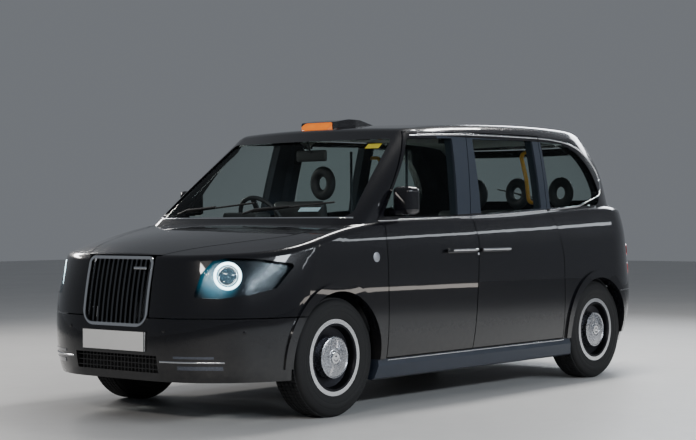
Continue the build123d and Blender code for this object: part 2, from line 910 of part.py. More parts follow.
def seat(x, y, base, cushion_height, width, head_height, reach=480.0):
    """Upright seat on a plinth, whose head restraint has an oval hole."""
    with BuildPart() as chair:
        with BuildSketch(Plane.YZ.offset(x - 120)):
            with Locations((y, head_height - 120)):
                RectangleRounded(210, 240, 80)
                RectangleRounded(80, 130, 38, mode=Mode.SUBTRACT)
        extrude(amount=70)
        fillet(chair.faces().filter_by(Axis.X).edges(), 16)
        with BuildSketch(Plane.XZ.offset(-y - width / 2)) as seat_side:
            with BuildLine():
                Polyline(
                    (x + 40, base),
                    (x + reach - 60, base),
                    (x + reach - 60, cushion_height - 150),
                    (x + reach, cushion_height - 130),
                    (x + reach, cushion_height),
                    (x + 105, cushion_height - 26),
                    (x - 40, head_height - 225),
                    (x - 125, head_height - 225),
                    (x - 30, cushion_height - 120),
                    close=True,
                )
            make_face()
            fillet(seat_side.vertices(), 24)
        extrude(amount=width)
        sides = chair.faces().filter_by(Axis.Y).filter_by(lambda side: side.area > 100000)
        fillet(sides.edges(), 18)
    return chair.part


with BuildPart() as driver_seat:
    add(seat(front_axle_x - 1330, driver_y, floor_height, 740, 500, 1560))
keep(driver_seat, "driver_seat")
bench_seats = [seat(rear_axle_x - 250, y, platform_height, 760, 396, 1500) for y in (-400, 0, 400)]
with BuildPart() as rear_bench:
    add(bench_seats)
keep(rear_bench, "rear_bench")
with BuildPart() as folding_seats:
    for y in (-420, 0, 420):
        with Locations((partition_x - 30 - 45, y, 760)):
            Box(90, 380, 560)
    fillet(folding_seats.edges().filter_by(Axis.X), 40)
    fillet(folding_seats.faces().sort_by(Axis.X)[:3].edges(), 20)
keep(folding_seats, "folding_seats")

# Grab handles, bent from bar, on the wall behind each rear door
with BuildPart() as grab_handle:
    with BuildLine(Plane.YZ.offset(door_rear_x + 115)) as handle_line:
        FilletPolyline((850, 1290), (712, 1290), (690, 1460), (640, 1650), (800, 1650), radius=36)
    with BuildSketch(Plane(origin=handle_line.line @ 0, z_dir=handle_line.line % 0)):
        Circle(14)
    sweep()
    add(trim_space, mode=Mode.INTERSECT)
keep(both_sides(grab_handle.part), "grab_handles")

# Steering wheel
with BuildPart() as steering_wheel:
    with BuildSketch(Plane(origin=column.origin, x_dir=column.x_dir, z_dir=column.y_dir)):
        with Locations((180, 0)):
            Circle(15)
    revolve(axis=Axis(column.origin, column.z_dir))
    with BuildSketch(column.offset(-20)):
        Circle(58)
    extrude(amount=30)
    with BuildSketch(column.offset(-8)):
        Rectangle(350, 34)
        with Locations((0, -88)):
            Rectangle(40, 176)
    extrude(amount=12)
    with BuildSketch(column.offset(-90)):
        Circle(column_radius)
    extrude(amount=80)
keep(steering_wheel, "steering_wheel")

# Heavy masses: the generator's engine behind the grille and the battery under the floor
with BuildPart() as engine_block:
    with Locations((front_axle_x + 180, 0, 620)):
        Box(620, 480, 440)
    fillet(engine_block.edges(), 20)
keep(engine_block, "engine_block")
battery_height = 110.0
battery_front_x = bulkhead_x - 150
battery_rear_x = rear_axle_x + 620
with BuildPart() as battery_pack:
    with Locations(((battery_front_x + battery_rear_x) / 2, 0, sill_height - battery_height / 2)):
        Box(battery_front_x - battery_rear_x, 1180, battery_height)
    fillet(battery_pack.edges().filter_by(Axis.Z), 60)
keep(battery_pack, "battery_pack")

# Running gear
pin_radius = 14.0
stub_radius = 22.0
kingpin_y = half_track - 45
ball_offset = 120.0
disc_face = half_track + 44
arm_thickness = 30.0
subframe_half_width = 420.0


# Half section of a wheel. Columns: distance outboard of its middle, radius.
rim_section = [
    (-94, bead_radius + 13),
    (-88, bead_radius + 13),
    (-88, bead_radius),
    (88, bead_radius),
    (88, bead_radius + 13),
    (95, bead_radius + 13),
    (95, bead_radius - 26),
    (84, bead_radius - 30),
    (50, bead_radius - 38),
    (36, 118),
    (62, 104),
    (66, 44),
    (72, 40),
    (72, 0),
    (60, 0),
    (60, stub_radius + pin_clearance),
    (12, stub_radius + pin_clearance),
    (12, 60),
    (-8, 60),
    (-8, 152),
    (12, 152),
    (12, 70),
    (26, 70),
    (26, 118),
    (40, bead_radius - 30),
    (40, bead_radius - 8),
    (-94, bead_radius - 8),
]


def rim(x, y, out):
    """Pressed wheel with a deep dish, a wide rolled edge, a ribbed centre cap and its brake disc."""
    with BuildPart() as wheel:
        with BuildSketch(Plane.YZ.offset(x)):
            with BuildLine():
                outline = [(y + out * along, tyre_radius + radius) for along, radius in rim_section]
                Polyline(*outline, close=True)
            make_face()
        revolve(axis=Axis((x, 0, tyre_radius), (0, 1, 0)))
    return wheel.part


# Half section of a tyre. Columns: distance from its middle, radius.
tyre_section = [
    (88, bead_radius),
    (88, bead_radius + 13),
    (tyre_width / 2 - 2, 262),
    (tyre_width / 2, 290),
    (tyre_width / 2 - 6, tyre_radius - 30),
    (tyre_width / 2 - 18, tyre_radius - 8),
    (tyre_width / 2 - 36, tyre_radius),
]


def tyre(x, y):
    """Tyre on its beads, with rounded shoulders."""
    half = [(y + along, tyre_radius + radius) for along, radius in tyre_section]
    other_half = [(y - along, tyre_radius + radius) for along, radius in reversed(tyre_section)]
    with BuildPart() as rubber:
        with BuildSketch(Plane.YZ.offset(x)):
            with BuildLine():
                Polyline(*half, *other_half, close=True)
            make_face()
        revolve(axis=Axis((x, 0, tyre_radius), (0, 1, 0)))
    return rubber.part


for end, x in (("front", front_axle_x), ("rear", rear_axle_x)):
    for label, out in (("left", 1), ("right", -1)):
        keep(rim(x, out * half_track, out), f"rim_{end}_{label}")
        keep(tyre(x, out * half_track), f"tyre_{end}_{label}")

for label, out in (("left", 1), ("right", -1)):
    with BuildPart() as knuckle:
        with BuildSketch(Plane.XY.offset(tyre_radius - ball_offset - 22)):
            with Locations((front_axle_x, out * kingpin_y)):
                Circle(pin_radius)
        extrude(amount=2 * ball_offset + 44)
        with Locations((front_axle_x, out * kingpin_y, tyre_radius)):
            Box(52, 40, 2 * ball_offset - arm_thickness - 6)
        add(across(front_axle_x, tyre_radius, 58, out * (kingpin_y - 20), out * (half_track - 14)))
        add(across(front_axle_x, tyre_radius, stub_radius, out * kingpin_y, out * (half_track + 56)))
    keep(knuckle, f"knuckle_{label}")

tower_y = 545.0
with BuildPart() as front_suspension:
    with Locations((front_axle_x, 0, tyre_radius - ball_offset)):
        Box(360, 2 * subframe_half_width, 60)
    for level in (-ball_offset, ball_offset):
        for out in (1, -1):
            with BuildSketch(Plane.XY.offset(tyre_radius + level - arm_thickness / 2)):
                with BuildLine():
                    Polyline(
                        (front_axle_x - 140, out * (subframe_half_width - 20)),
                        (front_axle_x + 140, out * (subframe_half_width - 20)),
                        (front_axle_x + 26, out * kingpin_y),
                        (front_axle_x - 26, out * kingpin_y),
                        close=True,
                    )
                make_face()
                with Locations((front_axle_x, out * kingpin_y)):
                    Circle(28)
                with Locations((front_axle_x, out * kingpin_y)):
                    Circle(pin_radius + pin_clearance, mode=Mode.SUBTRACT)
            extrude(amount=arm_thickness)
    for out in (1, -1):
        with Locations((front_axle_x, out * (subframe_half_width - 10), tyre_radius)):
            Box(280, 40, 2 * ball_offset + 60)
        with BuildSketch(Plane.XY.offset(tyre_radius - ball_offset)):
            with Locations((front_axle_x, out * tower_y)):
                Circle(42)
        extrude(amount=600)
keep(front_suspension, "front_suspension")

rear_arm_y = 598.0
with BuildPart() as rear_axle:
    add(across(rear_axle_x, tyre_radius, 45, -740, 740))
    for out in (1, -1):
        add(across(rear_axle_x, tyre_radius, axle_hub_radius, out * 700, out * (half_track - 14)))
        add(across(rear_axle_x, tyre_radius, stub_radius, out * 700, out * (half_track + 56)))
        with BuildSketch(Plane.XZ.offset(-out * (rear_arm_y - 25))):
            with BuildLine():
                Polyline(
                    (rear_axle_x - 60, 320),
                    (rear_axle_x - 30, 390),
                    (rear_axle_x + 60, 380),
                    (rear_axle_x + 360, sill_height),
                    (rear_axle_x + 500, sill_height),
                    (rear_axle_x + 500, sill_height - 70),
                    close=True,
                )
            make_face()
        extrude(amount=-out * 50)
        with BuildSketch(Plane.XY.offset(tyre_radius)):
            with Locations((rear_axle_x - 20, out * 520)):
                Circle(46)
        extrude(amount=platform_height - floor_thickness - tyre_radius)
    with Locations((rear_axle_x, 0, tyre_radius)):
        Box(360, 420, 260)
keep(rear_axle, "rear_axle")

for piece in pieces:
    print(piece.label, piece.is_valid, [round(body.volume / 1e3) for body in piece.solids()][:6])
    export_step(piece, f"parts/{piece.label}.step")
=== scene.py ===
from math import atan2, cos, pi, radians, sin

import bpy
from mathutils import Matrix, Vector


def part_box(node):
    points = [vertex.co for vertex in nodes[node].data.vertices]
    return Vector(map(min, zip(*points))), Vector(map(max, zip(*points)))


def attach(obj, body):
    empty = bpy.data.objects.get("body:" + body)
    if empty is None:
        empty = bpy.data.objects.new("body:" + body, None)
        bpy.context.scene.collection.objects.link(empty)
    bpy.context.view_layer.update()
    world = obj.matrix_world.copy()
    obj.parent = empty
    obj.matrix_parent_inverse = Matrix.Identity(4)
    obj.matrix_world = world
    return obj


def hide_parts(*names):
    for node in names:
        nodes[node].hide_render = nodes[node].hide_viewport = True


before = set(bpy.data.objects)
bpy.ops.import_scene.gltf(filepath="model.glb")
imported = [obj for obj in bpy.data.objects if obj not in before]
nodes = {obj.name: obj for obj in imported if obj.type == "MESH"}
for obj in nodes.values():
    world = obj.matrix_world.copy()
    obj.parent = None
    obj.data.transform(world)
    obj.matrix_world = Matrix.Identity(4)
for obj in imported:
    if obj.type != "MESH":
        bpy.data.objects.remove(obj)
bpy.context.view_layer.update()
bpy.ops.object.select_all(action="DESELECT")

# Studio: broad, soft lamps round the cab, and long thin ones that draw unbroken lines of light
# along its black side. The camera stands where the photo was taken from.
lens = bpy.data.cameras.new("photographer")
lens.sensor_width = 36
lens.lens = 81.69
camera = bpy.data.objects.new("photographer", lens)
camera.location = (8.6511, 6.9530, 1.1766)
camera.rotation_euler = (radians(89.975), radians(0.253), radians(129.665))
bpy.context.collection.objects.link(camera)
bpy.context.scene.camera = camera

world = bpy.data.worlds.new("studio_air")
bpy.context.scene.world = world
world.use_nodes = True
world.node_tree.nodes["Background"].inputs["Color"].default_value = (0.62, 0.66, 0.72, 1)
world.node_tree.nodes["Background"].inputs["Strength"].default_value = 0.27

studio_lamps = [
    # name, place, turned (degrees), length, width, watts, colour
    ("overhead_lamp", (-2.9, 0.2, 5.6), (0, 0, 0), 5.0, 0.8, 420, (1.0, 0.98, 0.95)),
    ("side_lamp", (1.0, 7.4, 3.2), (-66, 0, 0), 9.0, 0.5, 380, (0.86, 0.93, 1.0)),
    ("front_lamp", (7.2, 2.9, 3.4), (0, 64, 0), 0.3, 3.0, 130, (1.0, 0.94, 0.88)),
    ("high_strip", (-5.5, 6.5, 2.2), (-90, 0, 41), 7.0, 0.10, 11, (0.88, 0.94, 1.0)),
    ("low_strip", (-4.5, 6.5, 0.55), (-90, 0, 41), 4.0, 0.08, 4, (1.0, 0.93, 0.86)),
    ("tail_lamp", (-6.8, -1.0, 3.6), (0, -62, 0), 1.4, 5.0, 200, (0.9, 0.94, 1.0)),
    ("far_side_lamp", (0.6, -6.5, 3.4), (62, 0, 0), 5.0, 0.6, 200, (1.0, 0.96, 0.92)),
]
for name, place, turned, length, width, watts, colour in studio_lamps:
    lamp = bpy.data.lights.new(name, "AREA")
    lamp.shape = "RECTANGLE"
    lamp.size = length
    lamp.size_y = width
    lamp.energy = watts
    lamp.color = colour
    stand = bpy.data.objects.new(name, lamp)
    stand.location = place
    stand.rotation_euler = [radians(angle) for angle in turned]
    bpy.context.collection.objects.link(stand)


class Wire:
    """A socket of a finish's nodes. A sum written on it adds Math nodes."""

    def __init__(self, finish, socket):
        self.finish = finish
        self.socket = socket

    def math(self, operation, first, second=None):
        values = [first] if second is None else [first, second]
        return self.finish.node("ShaderNodeMath", {"operation": operation}, *values)

    def __add__(self, other):
        return self.math("ADD", self, other)

    def __radd__(self, other):
        return self.math("ADD", other, self)

    def __sub__(self, other):
        return self.math("SUBTRACT", self, other)

    def __rsub__(self, other):
        return self.math("SUBTRACT", other, self)

    def __mul__(self, other):
        return self.math("MULTIPLY", self, other)

    def __rmul__(self, other):
        return self.math("MULTIPLY", other, self)

    def __pow__(self, other):
        return self.math("POWER", self, other)

    def __abs__(self):
        return self.math("ABSOLUTE", self)

    def __gt__(self, other):
        return self.math("GREATER_THAN", self, other)

    def __lt__(self, other):
        return self.math("LESS_THAN", self, other)

    def ramp(self, low, high):
        """0 below the low value, 1 above the high one, and smooth between."""
        return self.finish.node(
            "ShaderNodeMapRange", {"interpolation_type": "SMOOTHSTEP"}, self, low, high, 0.0, 1.0
        )


class Finish:
    """A material, made node by node from where a point lies on the piece."""

    def __init__(self, name, colour, roughness, **sockets):
        self.material = bpy.data.materials.new(name)
        self.material.use_nodes = True
        self.tree = self.material.node_tree
        self.shader = self.tree.nodes["Principled BSDF"]
        self.place = self.node("ShaderNodeTexCoord", {}, out="Object")
        self.shader.inputs["Base Color"].default_value = (*colour, 1)
        self.shader.inputs["Roughness"].default_value = roughness
        for socket, value in sockets.items():
            self.shader.inputs[socket.replace("_", " ")].default_value = value

    def node(self, kind, settings, *values, out=0, **named):
        """One node: its type, its settings, then the values or wires of its sockets."""
        made = self.tree.nodes.new(kind)
        for setting, value in settings.items():
            setattr(made, setting, value)
        for key, value in [*enumerate(values), *named.items()]:
            socket = made.inputs[key.replace("_", " ") if isinstance(key, str) else key]
            if isinstance(value, Wire):
                self.tree.links.new(value.socket, socket)
            elif value is not None:
                socket.default_value = value
        return Wire(self, made.outputs[out])

    def axis(self, letter):
        return self.node("ShaderNodeSeparateXYZ", {}, self.place, out=letter)

    def grain(self, scale, detail=3.0, stretch=(1, 1, 1)):
        """Cloudy noise at a scale, from 0 to 1, drawn out along an axis where asked."""
        stretched = self.node("ShaderNodeMapping", {}, self.place, Scale=stretch)
        return self.node("ShaderNodeTexNoise", {}, Vector=stretched, Scale=scale, Detail=detail)

    def blend(self, mask, first, second):
        """Colour that goes from the first to the second as the mask goes from 0 to 1."""
        colours = [wire if isinstance(wire, Wire) else (*wire, 1) for wire in (first, second)]
        made = self.tree.nodes.new("ShaderNodeMix")
        made.data_type = "RGBA"
        self.tree.links.new(mask.socket, made.inputs[0])
        for socket, colour in zip((made.inputs[6], made.inputs[7]), colours):
            if isinstance(colour, Wire):
                self.tree.links.new(colour.socket, socket)
            else:
                socket.default_value = colour
        return Wire(self, made.outputs[2])

    def wire(self, **sockets):
        for socket, value in sockets.items():
            self.tree.links.new(value.socket, self.shader.inputs[socket.replace("_", " ")])

    def shade(self, mask, first, second):
        """Base colour that goes from the first to the second as the mask goes from 0 to 1."""
        self.wire(Base_Color=self.blend(mask, first, second))

    def bump(self, height, strength, distance):
        """Relief, by a height in units of the distance, in metres."""
        relief = self.node("ShaderNodeBump", {}, Strength=strength, Distance=distance, Height=height)
        self.wire(Normal=relief)


# Floor: smooth pale concrete, trowelled and sealed, with faint clouding. It is there for the
# cab to stand on and is no part of it.
bpy.ops.mesh.primitive_plane_add(size=60, location=(0, 0, 0))
floor = bpy.context.object
floor.name = "studio_floor"
concrete = Finish("pale_concrete", (0.55, 0.55, 0.54), 0.42)
concrete.shade(concrete.grain(0.9, 4), (0.50, 0.50, 0.50), (0.60, 0.60, 0.59))
concrete.wire(Roughness=0.35 + 0.2 * concrete.grain(7))
floor.data.materials.append(concrete.material)

# Painted panels: steel and aluminium pressings under deep gloss black lacquer. The lacquer has
# the faint orange peel of a sprayed coat, and road dust dulls it near the sills.
lacquer = Finish(
    "black_lacquer",
    (0.004, 0.004, 0.006),
    0.3,
    Coat_Weight=1.0,
    Coat_Roughness=0.015,
    Specular_IOR_Level=0.12,
)
speck = lacquer.grain(1400, 1)
black = lacquer.blend(speck.ramp(0.55, 0.75), (0.0035, 0.0035, 0.005), (0.012, 0.013, 0.018))
low_dust = (1 - lacquer.axis("Z").ramp(0.2, 0.62)) * lacquer.grain(26, 5)
painted = lacquer.blend(low_dust * 0.16, black, (0.16, 0.15, 0.13))
# The door frames between the windows are covered in a satin dark film.
belt_height = 1.2048 - 0.0361 * lacquer.axis("X")
film_top, film_inside, film_middle, film_reach = 1.722, 0.70, -0.31, 0.62
film = (lacquer.axis("Z") > belt_height + 0.008) * (lacquer.axis("Z") < film_top)
film = film * (abs(lacquer.axis("Y")) > film_inside)
film = film * (abs(lacquer.axis("X") - film_middle) < film_reach)
lacquer.shade(film, painted, (0.030, 0.037, 0.050))
lacquer.wire(Roughness=0.20 + 0.08 * lacquer.grain(300, 2) + 0.3 * low_dust + 0.25 * film)
lacquer.wire(Coat_Weight=1 - 0.85 * film)
lacquer.bump(lacquer.grain(210, 2), 0.02, 0.002)


def dress(finish, *names):
    """Gives CAD nodes a finish."""
    for name in names:
        for slot in nodes[name].material_slots:
            slot.material = finish.material


dress(lacquer, "body_shell", "front_wings", "front_bumper", "rear_bumper", "bonnet", "tailgate")
doors = [f"door_{end}_{side}" for end in ("front", "rear") for side in ("left", "right")]
dress(lacquer, *doors)


# Windows: a laminated screen in front, lightly tinted glass in the doors, the rear quarters and
# the tailgate, and a clear sheet in the partition. Each is let flush into its panel.
def part_glass(name, tint, strength):
    """Flat-drawn glass: light passes straight through its tint, and its face mirrors the room."""
    glass = Finish(name, (0.01, 0.012, 0.013), 0.02)
    grazing = glass.node("ShaderNodeLayerWeight", {}, Blend=0.5, out="Facing")
    clear = glass.node("ShaderNodeBsdfTransparent", {}, Color=(*tint, 1))
    share = 0.7 * grazing**5 + 0.02 + strength + 0.02 * glass.grain(3)
    mixed = glass.node("ShaderNodeMixShader", {}, share, clear, Wire(glass, glass.shader.outputs[0]))
    glass.tree.links.new(mixed.socket, glass.tree.nodes["Material Output"].inputs["Surface"])
    return glass


screen_glass = part_glass("screen_glass", (0.955, 0.985, 0.975), 0.02)
side_glass = part_glass("side_glass", (0.87, 0.91, 0.90), 0.03)
dress(screen_glass, "windscreen", "partition")
dress(side_glass, "quarter_glass", "tailgate_glass")
for door in doors:
    dress(side_glass, door.replace("door", "glass"))


# Bright trim round the side windows: roll-formed stainless strip, polished, clipped along the
# belt, up round the rear quarter and forward over the doors. Each door carries its own length.
front_axle_x = 1.4775


def settle(name, body, finish, smooth=35):
    """Fixes the piece just made in its place, finishes it and lets it ride on its body."""
    piece = bpy.context.object
    bpy.ops.object.transform_apply(location=True, rotation=True, scale=True)
    piece.name = piece.data.name = name
    piece.data.materials.clear()
    piece.data.materials.append(finish.material)
    bpy.ops.object.shade_smooth_by_angle(angle=radians(smooth))
    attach(piece, body)
    bpy.ops.object.select_all(action="DESELECT")
    return piece


def bead(points, radius, closed=False):
    """A round bead of trim along a line of points."""
    bpy.ops.object.select_all(action="DESELECT")
    bpy.ops.curve.primitive_nurbs_path_add(location=(0, 0, 0))
    run = bpy.context.object.data
    run.splines.clear()
    spline = run.splines.new("POLY")
    spline.points.add(len(points) - 1)
    for knot, place in zip(spline.points, points):
        knot.co = (*place, 1)
    spline.use_cyclic_u = closed
    run.bevel_depth = radius
    run.bevel_resolution = 2
    run.use_fill_caps = True
    bpy.ops.object.convert(target="MESH")


def eased(corners, steps=8):
    """A smooth line through a few points, as closer points."""
    line = [Vector(corner) for corner in corners]
    line = [2 * line[0] - line[1], *line, 2 * line[-1] - line[-2]]
    points = []
    for before, here, after, beyond in zip(line, line[1:], line[2:], line[3:]):
        for step in range(steps):
            t = step / steps
            bend = 2 * before - 5 * here + 4 * after - beyond
            twist = 3 * here - before - 3 * after + beyond
            points.append(here + 0.5 * ((after - before) * t + bend * t**2 + twist * t**3))
    return [*points, line[-2]]


def meet(names, start, heading):
    """Where a line first meets these panels, and which way they face there."""
    shots = [nodes[name].ray_cast(start, heading) for name in names]
    hits = [(place, normal) for hit, place, normal, face in shots if hit]
    return min(hits, key=lambda hit: (hit[0] - Vector(start)).length) if hits else (None, None)


def on_side(names, x, z, side):
    """Where the outermost of these panels lies at a height and a distance along the cab."""
    return meet(names, (x, 1.3 * side, z), (0, -side, 0))[0]


polished = Finish("polished_steel", (0.80, 0.81, 0.83), 0.08, Metallic=1.0)
polished.wire(Roughness=0.06 + 0.10 * polished.grain(40, 4, (0.2, 1, 1)))
polished.bump(polished.grain(90, 2), 0.01, 0.001)
trim_radius = 0.0058
trim_runs = [
    # name, panels that carry it, body prefix, points ahead of the front axle and up
    ("belt_trim_front", "door_front", "door_front", [(-0.434, 1.167), (-0.9, 1.178), (-1.405, 1.192)]),
    ("belt_trim_rear", "door_rear", "door_rear", [(-1.418, 1.193), (-1.9, 1.214), (-2.345, 1.236)]),
    (
        "belt_trim_quarter",
        ["body_shell"],
        None,
        [
            (-2.359, 1.237),
            (-2.6, 1.252),
            (-2.885, 1.273),
            (-3.05, 1.305),
            (-3.145, 1.372),
            (-3.178, 1.463),
            (-3.125, 1.555),
            (-3.007, 1.640),
            (-2.885, 1.694),
            (-2.749, 1.727),
            (-2.56, 1.744),
            (-2.389, 1.749),
        ],
    ),
    ("roof_trim_rear", "door_rear", "door_rear", [(-2.374, 1.749), (-1.9, 1.748), (-1.508, 1.742)]),
    ("roof_trim_front", "door_front", "door_front", [(-1.496, 1.742), (-1.2, 1.731), (-0.912, 1.716)]),
]
for side, label in ((1, "left"), (-1, "right")):
    for name, panels, door, corners in trim_runs:
        carriers = [f"{panels}_{label}"] if door else panels
        flat_line = eased([(front_axle_x + x, 0, z) for x, z in corners])
        line = [on_side(carriers, point.x, point.z, side) for point in flat_line]
        line = [place for place in line if place]
        bead(line, trim_radius)
        settle(f"{name}_{label}", f"{door}_{label}" if door else "cab", polished, 60)

# Grille: bright surround with close upright blades of black chrome, leaning back over the nose.
# A matt shutter panel stands behind the blades, and a small plain bar is fixed to them.
grille_finish = Finish("grille_chrome", (0.80, 0.81, 0.83), 0.07, Metallic=1.0)
surround, corner = 0.018, 0.06
half_width, foot, head = 0.277 - surround, 0.561 + surround, 0.968 - surround
out_y = abs(grille_finish.axis("Y")) - (half_width - corner)
out_z = abs(grille_finish.axis("Z") - (foot + head) / 2) - ((head - foot) / 2 - corner)
out_y = out_y.math("MAXIMUM", out_y, 0.0)
out_z = out_z.math("MAXIMUM", out_z, 0.0)
in_frame = (out_y**2 + out_z**2) ** 0.5 > corner - 0.0005
streak = grille_finish.grain(30, 4, (1, 1, 0.1))
blade_colour = grille_finish.blend(streak, (0.10, 0.105, 0.115), (0.16, 0.165, 0.175))
grille_finish.shade(in_frame, blade_colour, (0.80, 0.81, 0.83))
grille_finish.wire(Roughness=0.22 - 0.14 * in_frame + 0.05 * streak)
dress(grille_finish, "grille")


def slab(low, high, rounding, segments=3):
    """A block between two corners, with its edges rounded over."""
    bpy.ops.object.select_all(action="DESELECT")
    middle = [(a + b) / 2 for a, b in zip(low, high)]
    span = [abs(b - a) for a, b in zip(low, high)]
    bpy.ops.mesh.primitive_cube_add(size=1, location=middle, scale=span)
    bpy.ops.object.transform_apply(location=False, rotation=False, scale=True)
    edge = bpy.context.object.modifiers.new("edge", "BEVEL")
    edge.width = rounding
    edge.segments = segments
    bpy.ops.object.modifier_apply(modifier="edge")


matt_black = Finish("matt_black_plastic", (0.018, 0.018, 0.019), 0.55)
matt_black.wire(Roughness=0.45 + 0.2 * matt_black.grain(180, 3))
matt_black.bump(matt_black.grain(900, 2), 0.25, 0.0004)
slab((front_axle_x + 0.790, -0.272, 0.566), (front_axle_x + 0.806, 0.272, 0.964), 0.006)
settle("grille_shutter", "cab", matt_black)
slab((front_axle_x + 0.903, 0.140, 0.893), (front_axle_x + 0.909, 0.245, 0.907), 0.002)
settle("grille_bar", "cab", polished)

# Lower grille: a lattice moulded in black plastic and let into the bumper. A dark duct panel
# closes the space behind it.
dress(matt_black, "lower_grille")
slab((front_axle_x + 0.835, -0.36, 0.285), (front_axle_x + 0.850, 0.36, 0.415), 0.005)
settle("lower_duct", "cab", matt_black)

# Headlamps: a dark bowl behind a clear cover. In it a ring lamp glows white round a projector
# lens on three bright spokes. The teal light round it on the bowl is painted light, put into the bowl's
# colour and emission.
lamp_bowl = Finish("lamp_bowl", (0.02, 0.025, 0.03), 0.2)
lamp_x, lamp_y, lamp_z = front_axle_x + 0.706, 0.700, 0.857
painted_light_y, painted_light_z = lamp_y - 0.075, lamp_z - 0.035
off_x = lamp_bowl.axis("X") - lamp_x
off_y = abs(lamp_bowl.axis("Y")) - painted_light_y
off_z = lamp_bowl.axis("Z") - painted_light_z
away = (off_x**2 + off_y**2 + off_z**2) ** 0.5
# Painted light: a pool of teal glow painted into the bowl's emission and base colour round the ring lamp,
# fading with distance.
painted_teal_light = (1 - away.ramp(0.01, 0.15)) * (0.55 + 0.6 * lamp_bowl.grain(14, 3))
lamp_bowl.wire(Emission_Color=lamp_bowl.blend(painted_teal_light, (0.0, 0.0, 0.0), (0.02, 0.34, 0.52)))
lamp_bowl.shader.inputs["Emission Strength"].default_value = 0.8
lamp_bowl.shade(painted_teal_light, (0.006, 0.008, 0.011), (0.05, 0.14, 0.18))
dress(lamp_bowl, "headlamp_bowls")
lamp_cover = part_glass("lamp_cover", (0.93, 0.97, 0.99), 0.0)
dress(lamp_cover, "headlamp_covers")
glow = Finish("ring_glow", (0.85, 0.95, 1.0), 0.3)
glow.wire(Emission_Color=glow.blend(glow.grain(60, 2), (0.55, 0.90, 1.0), (0.85, 0.98, 1.0)))
glow.shader.inputs["Emission Strength"].default_value = 6.0
lamp_lens = Finish(
    "projector_lens", (0.55, 0.75, 0.82), 0.03, Transmission_Weight=0.6, Coat_Weight=1.0
)
lamp_lens.shade(lamp_lens.grain(90, 3), (0.04, 0.09, 0.12), (0.42, 0.60, 0.70))
lamp_turn, lamp_lift = 41.0, 8.0
lens_radius, lens_flatness = 0.046, 0.3
spoke_inner, spoke_outer, spoke_radius = 0.020, 0.068, 0.0032
lamp_rings = [
    # name, finish, slot, radius, thickness, steps round it, steps about its tube
    ("ring_lamp", glow, "clear_lens", 0.072, 0.0085, 64, 12),
    ("lamp_bezel", polished, "chrome_trim", 0.050, 0.006, 48, 10),
]
for side, label in ((1, "left"), (-1, "right")):
    place = Vector((lamp_x, side * lamp_y, lamp_z))
    facing = (0, radians(90 - lamp_lift), side * radians(lamp_turn))
    for name, finish, slot, radius, thickness, round_steps, tube_steps in lamp_rings:
        bpy.ops.mesh.primitive_torus_add(
            location=place,
            rotation=facing,
            major_radius=radius,
            minor_radius=thickness,
            major_segments=round_steps,
            minor_segments=tube_steps,
        )
        settle(f"{name}_{label}", "cab", finish, 60)
    bpy.ops.mesh.primitive_uv_sphere_add(
        location=place, rotation=facing, radius=lens_radius, segments=32, ring_count=16
    )
    bpy.ops.transform.resize(value=(1, 1, lens_flatness), orient_type="LOCAL")
    settle(f"projector_lens_{label}", "cab", lamp_lens, 60)
    sideways = Vector((-side * sin(radians(lamp_turn)), cos(radians(lamp_turn)), 0))
    for spoke in range(3):
        angle = radians(30 + 120 * spoke)
        outward = sideways * cos(angle) + Vector((0, 0, sin(angle)))
        bead([place + spoke_inner * outward, place + spoke_outer * outward], spoke_radius)
        settle(f"lamp_spoke_{label}_{spoke}", "cab", polished, 60)


# Windscreen: a bright strip lies along its foot, and two wipers are parked low for a right-hand
# driver. An inside mirror hangs on a stalk, and two plain permits are stuck behind the glass.
def from_ahead(names, y, z):
    """Where the foremost of these panels lies at a distance across the cab and a height."""
    return meet(names, (3.2, y, z), (-1, 0, 0))[0]


def on_screen(y, z, lift=0.0):
    """A point on the windscreen's face, lifted off it."""
    place, normal = meet(["windscreen"], (3.2, y, z), (-1, 0, 0))
    return place + lift * normal if place else None


seal_rubber = Finish("seal_rubber", (0.012, 0.012, 0.012), 0.7)
seal_rubber.wire(Roughness=0.6 + 0.25 * seal_rubber.grain(120, 3))
seal_rubber.bump(seal_rubber.grain(500, 2), 0.2, 0.0005)
foot_line = []
for step in range(85):
    place = from_ahead(["windscreen", "body_shell"], 0.02 * step - 0.84, 1.192)
    foot_line.append(Vector((place.x + 0.004, place.y, 1.186)))
bead(foot_line, 0.0065)
settle("screen_foot_trim", "cab", polished, 60)
wipers = [
    # name, y of the pivot, y of the tip
    ("driver", -0.62, 0.04),
    ("passenger", 0.02, 0.66),
]
pivot_z, tip_z = 1.205, 1.262
heel_y, heel_rise = 0.06, 0.012
for name, pivot_y, tip_y in wipers:
    blade_line = []
    for k in range(9):
        blade_y = pivot_y + heel_y + (tip_y - pivot_y - heel_y) * k / 8
        blade_z = pivot_z + heel_rise + (tip_z - pivot_z) * k / 8
        blade_line.append(on_screen(blade_y, blade_z, 0.012))
    bead([place for place in blade_line if place], 0.0055)
    settle(f"wiper_blade_{name}", "cab", seal_rubber, 60)
    arm = [on_screen(pivot_y, pivot_z, 0.012), on_screen(pivot_y + 0.1, pivot_z + heel_rise, 0.03)]
    arm.append(on_screen((pivot_y + heel_y + tip_y) / 2, (pivot_z + heel_rise + tip_z) / 2, 0.026))
    bead([place for place in arm if place], 0.0075)
    settle(f"wiper_arm_{name}", "cab", matt_black, 60)

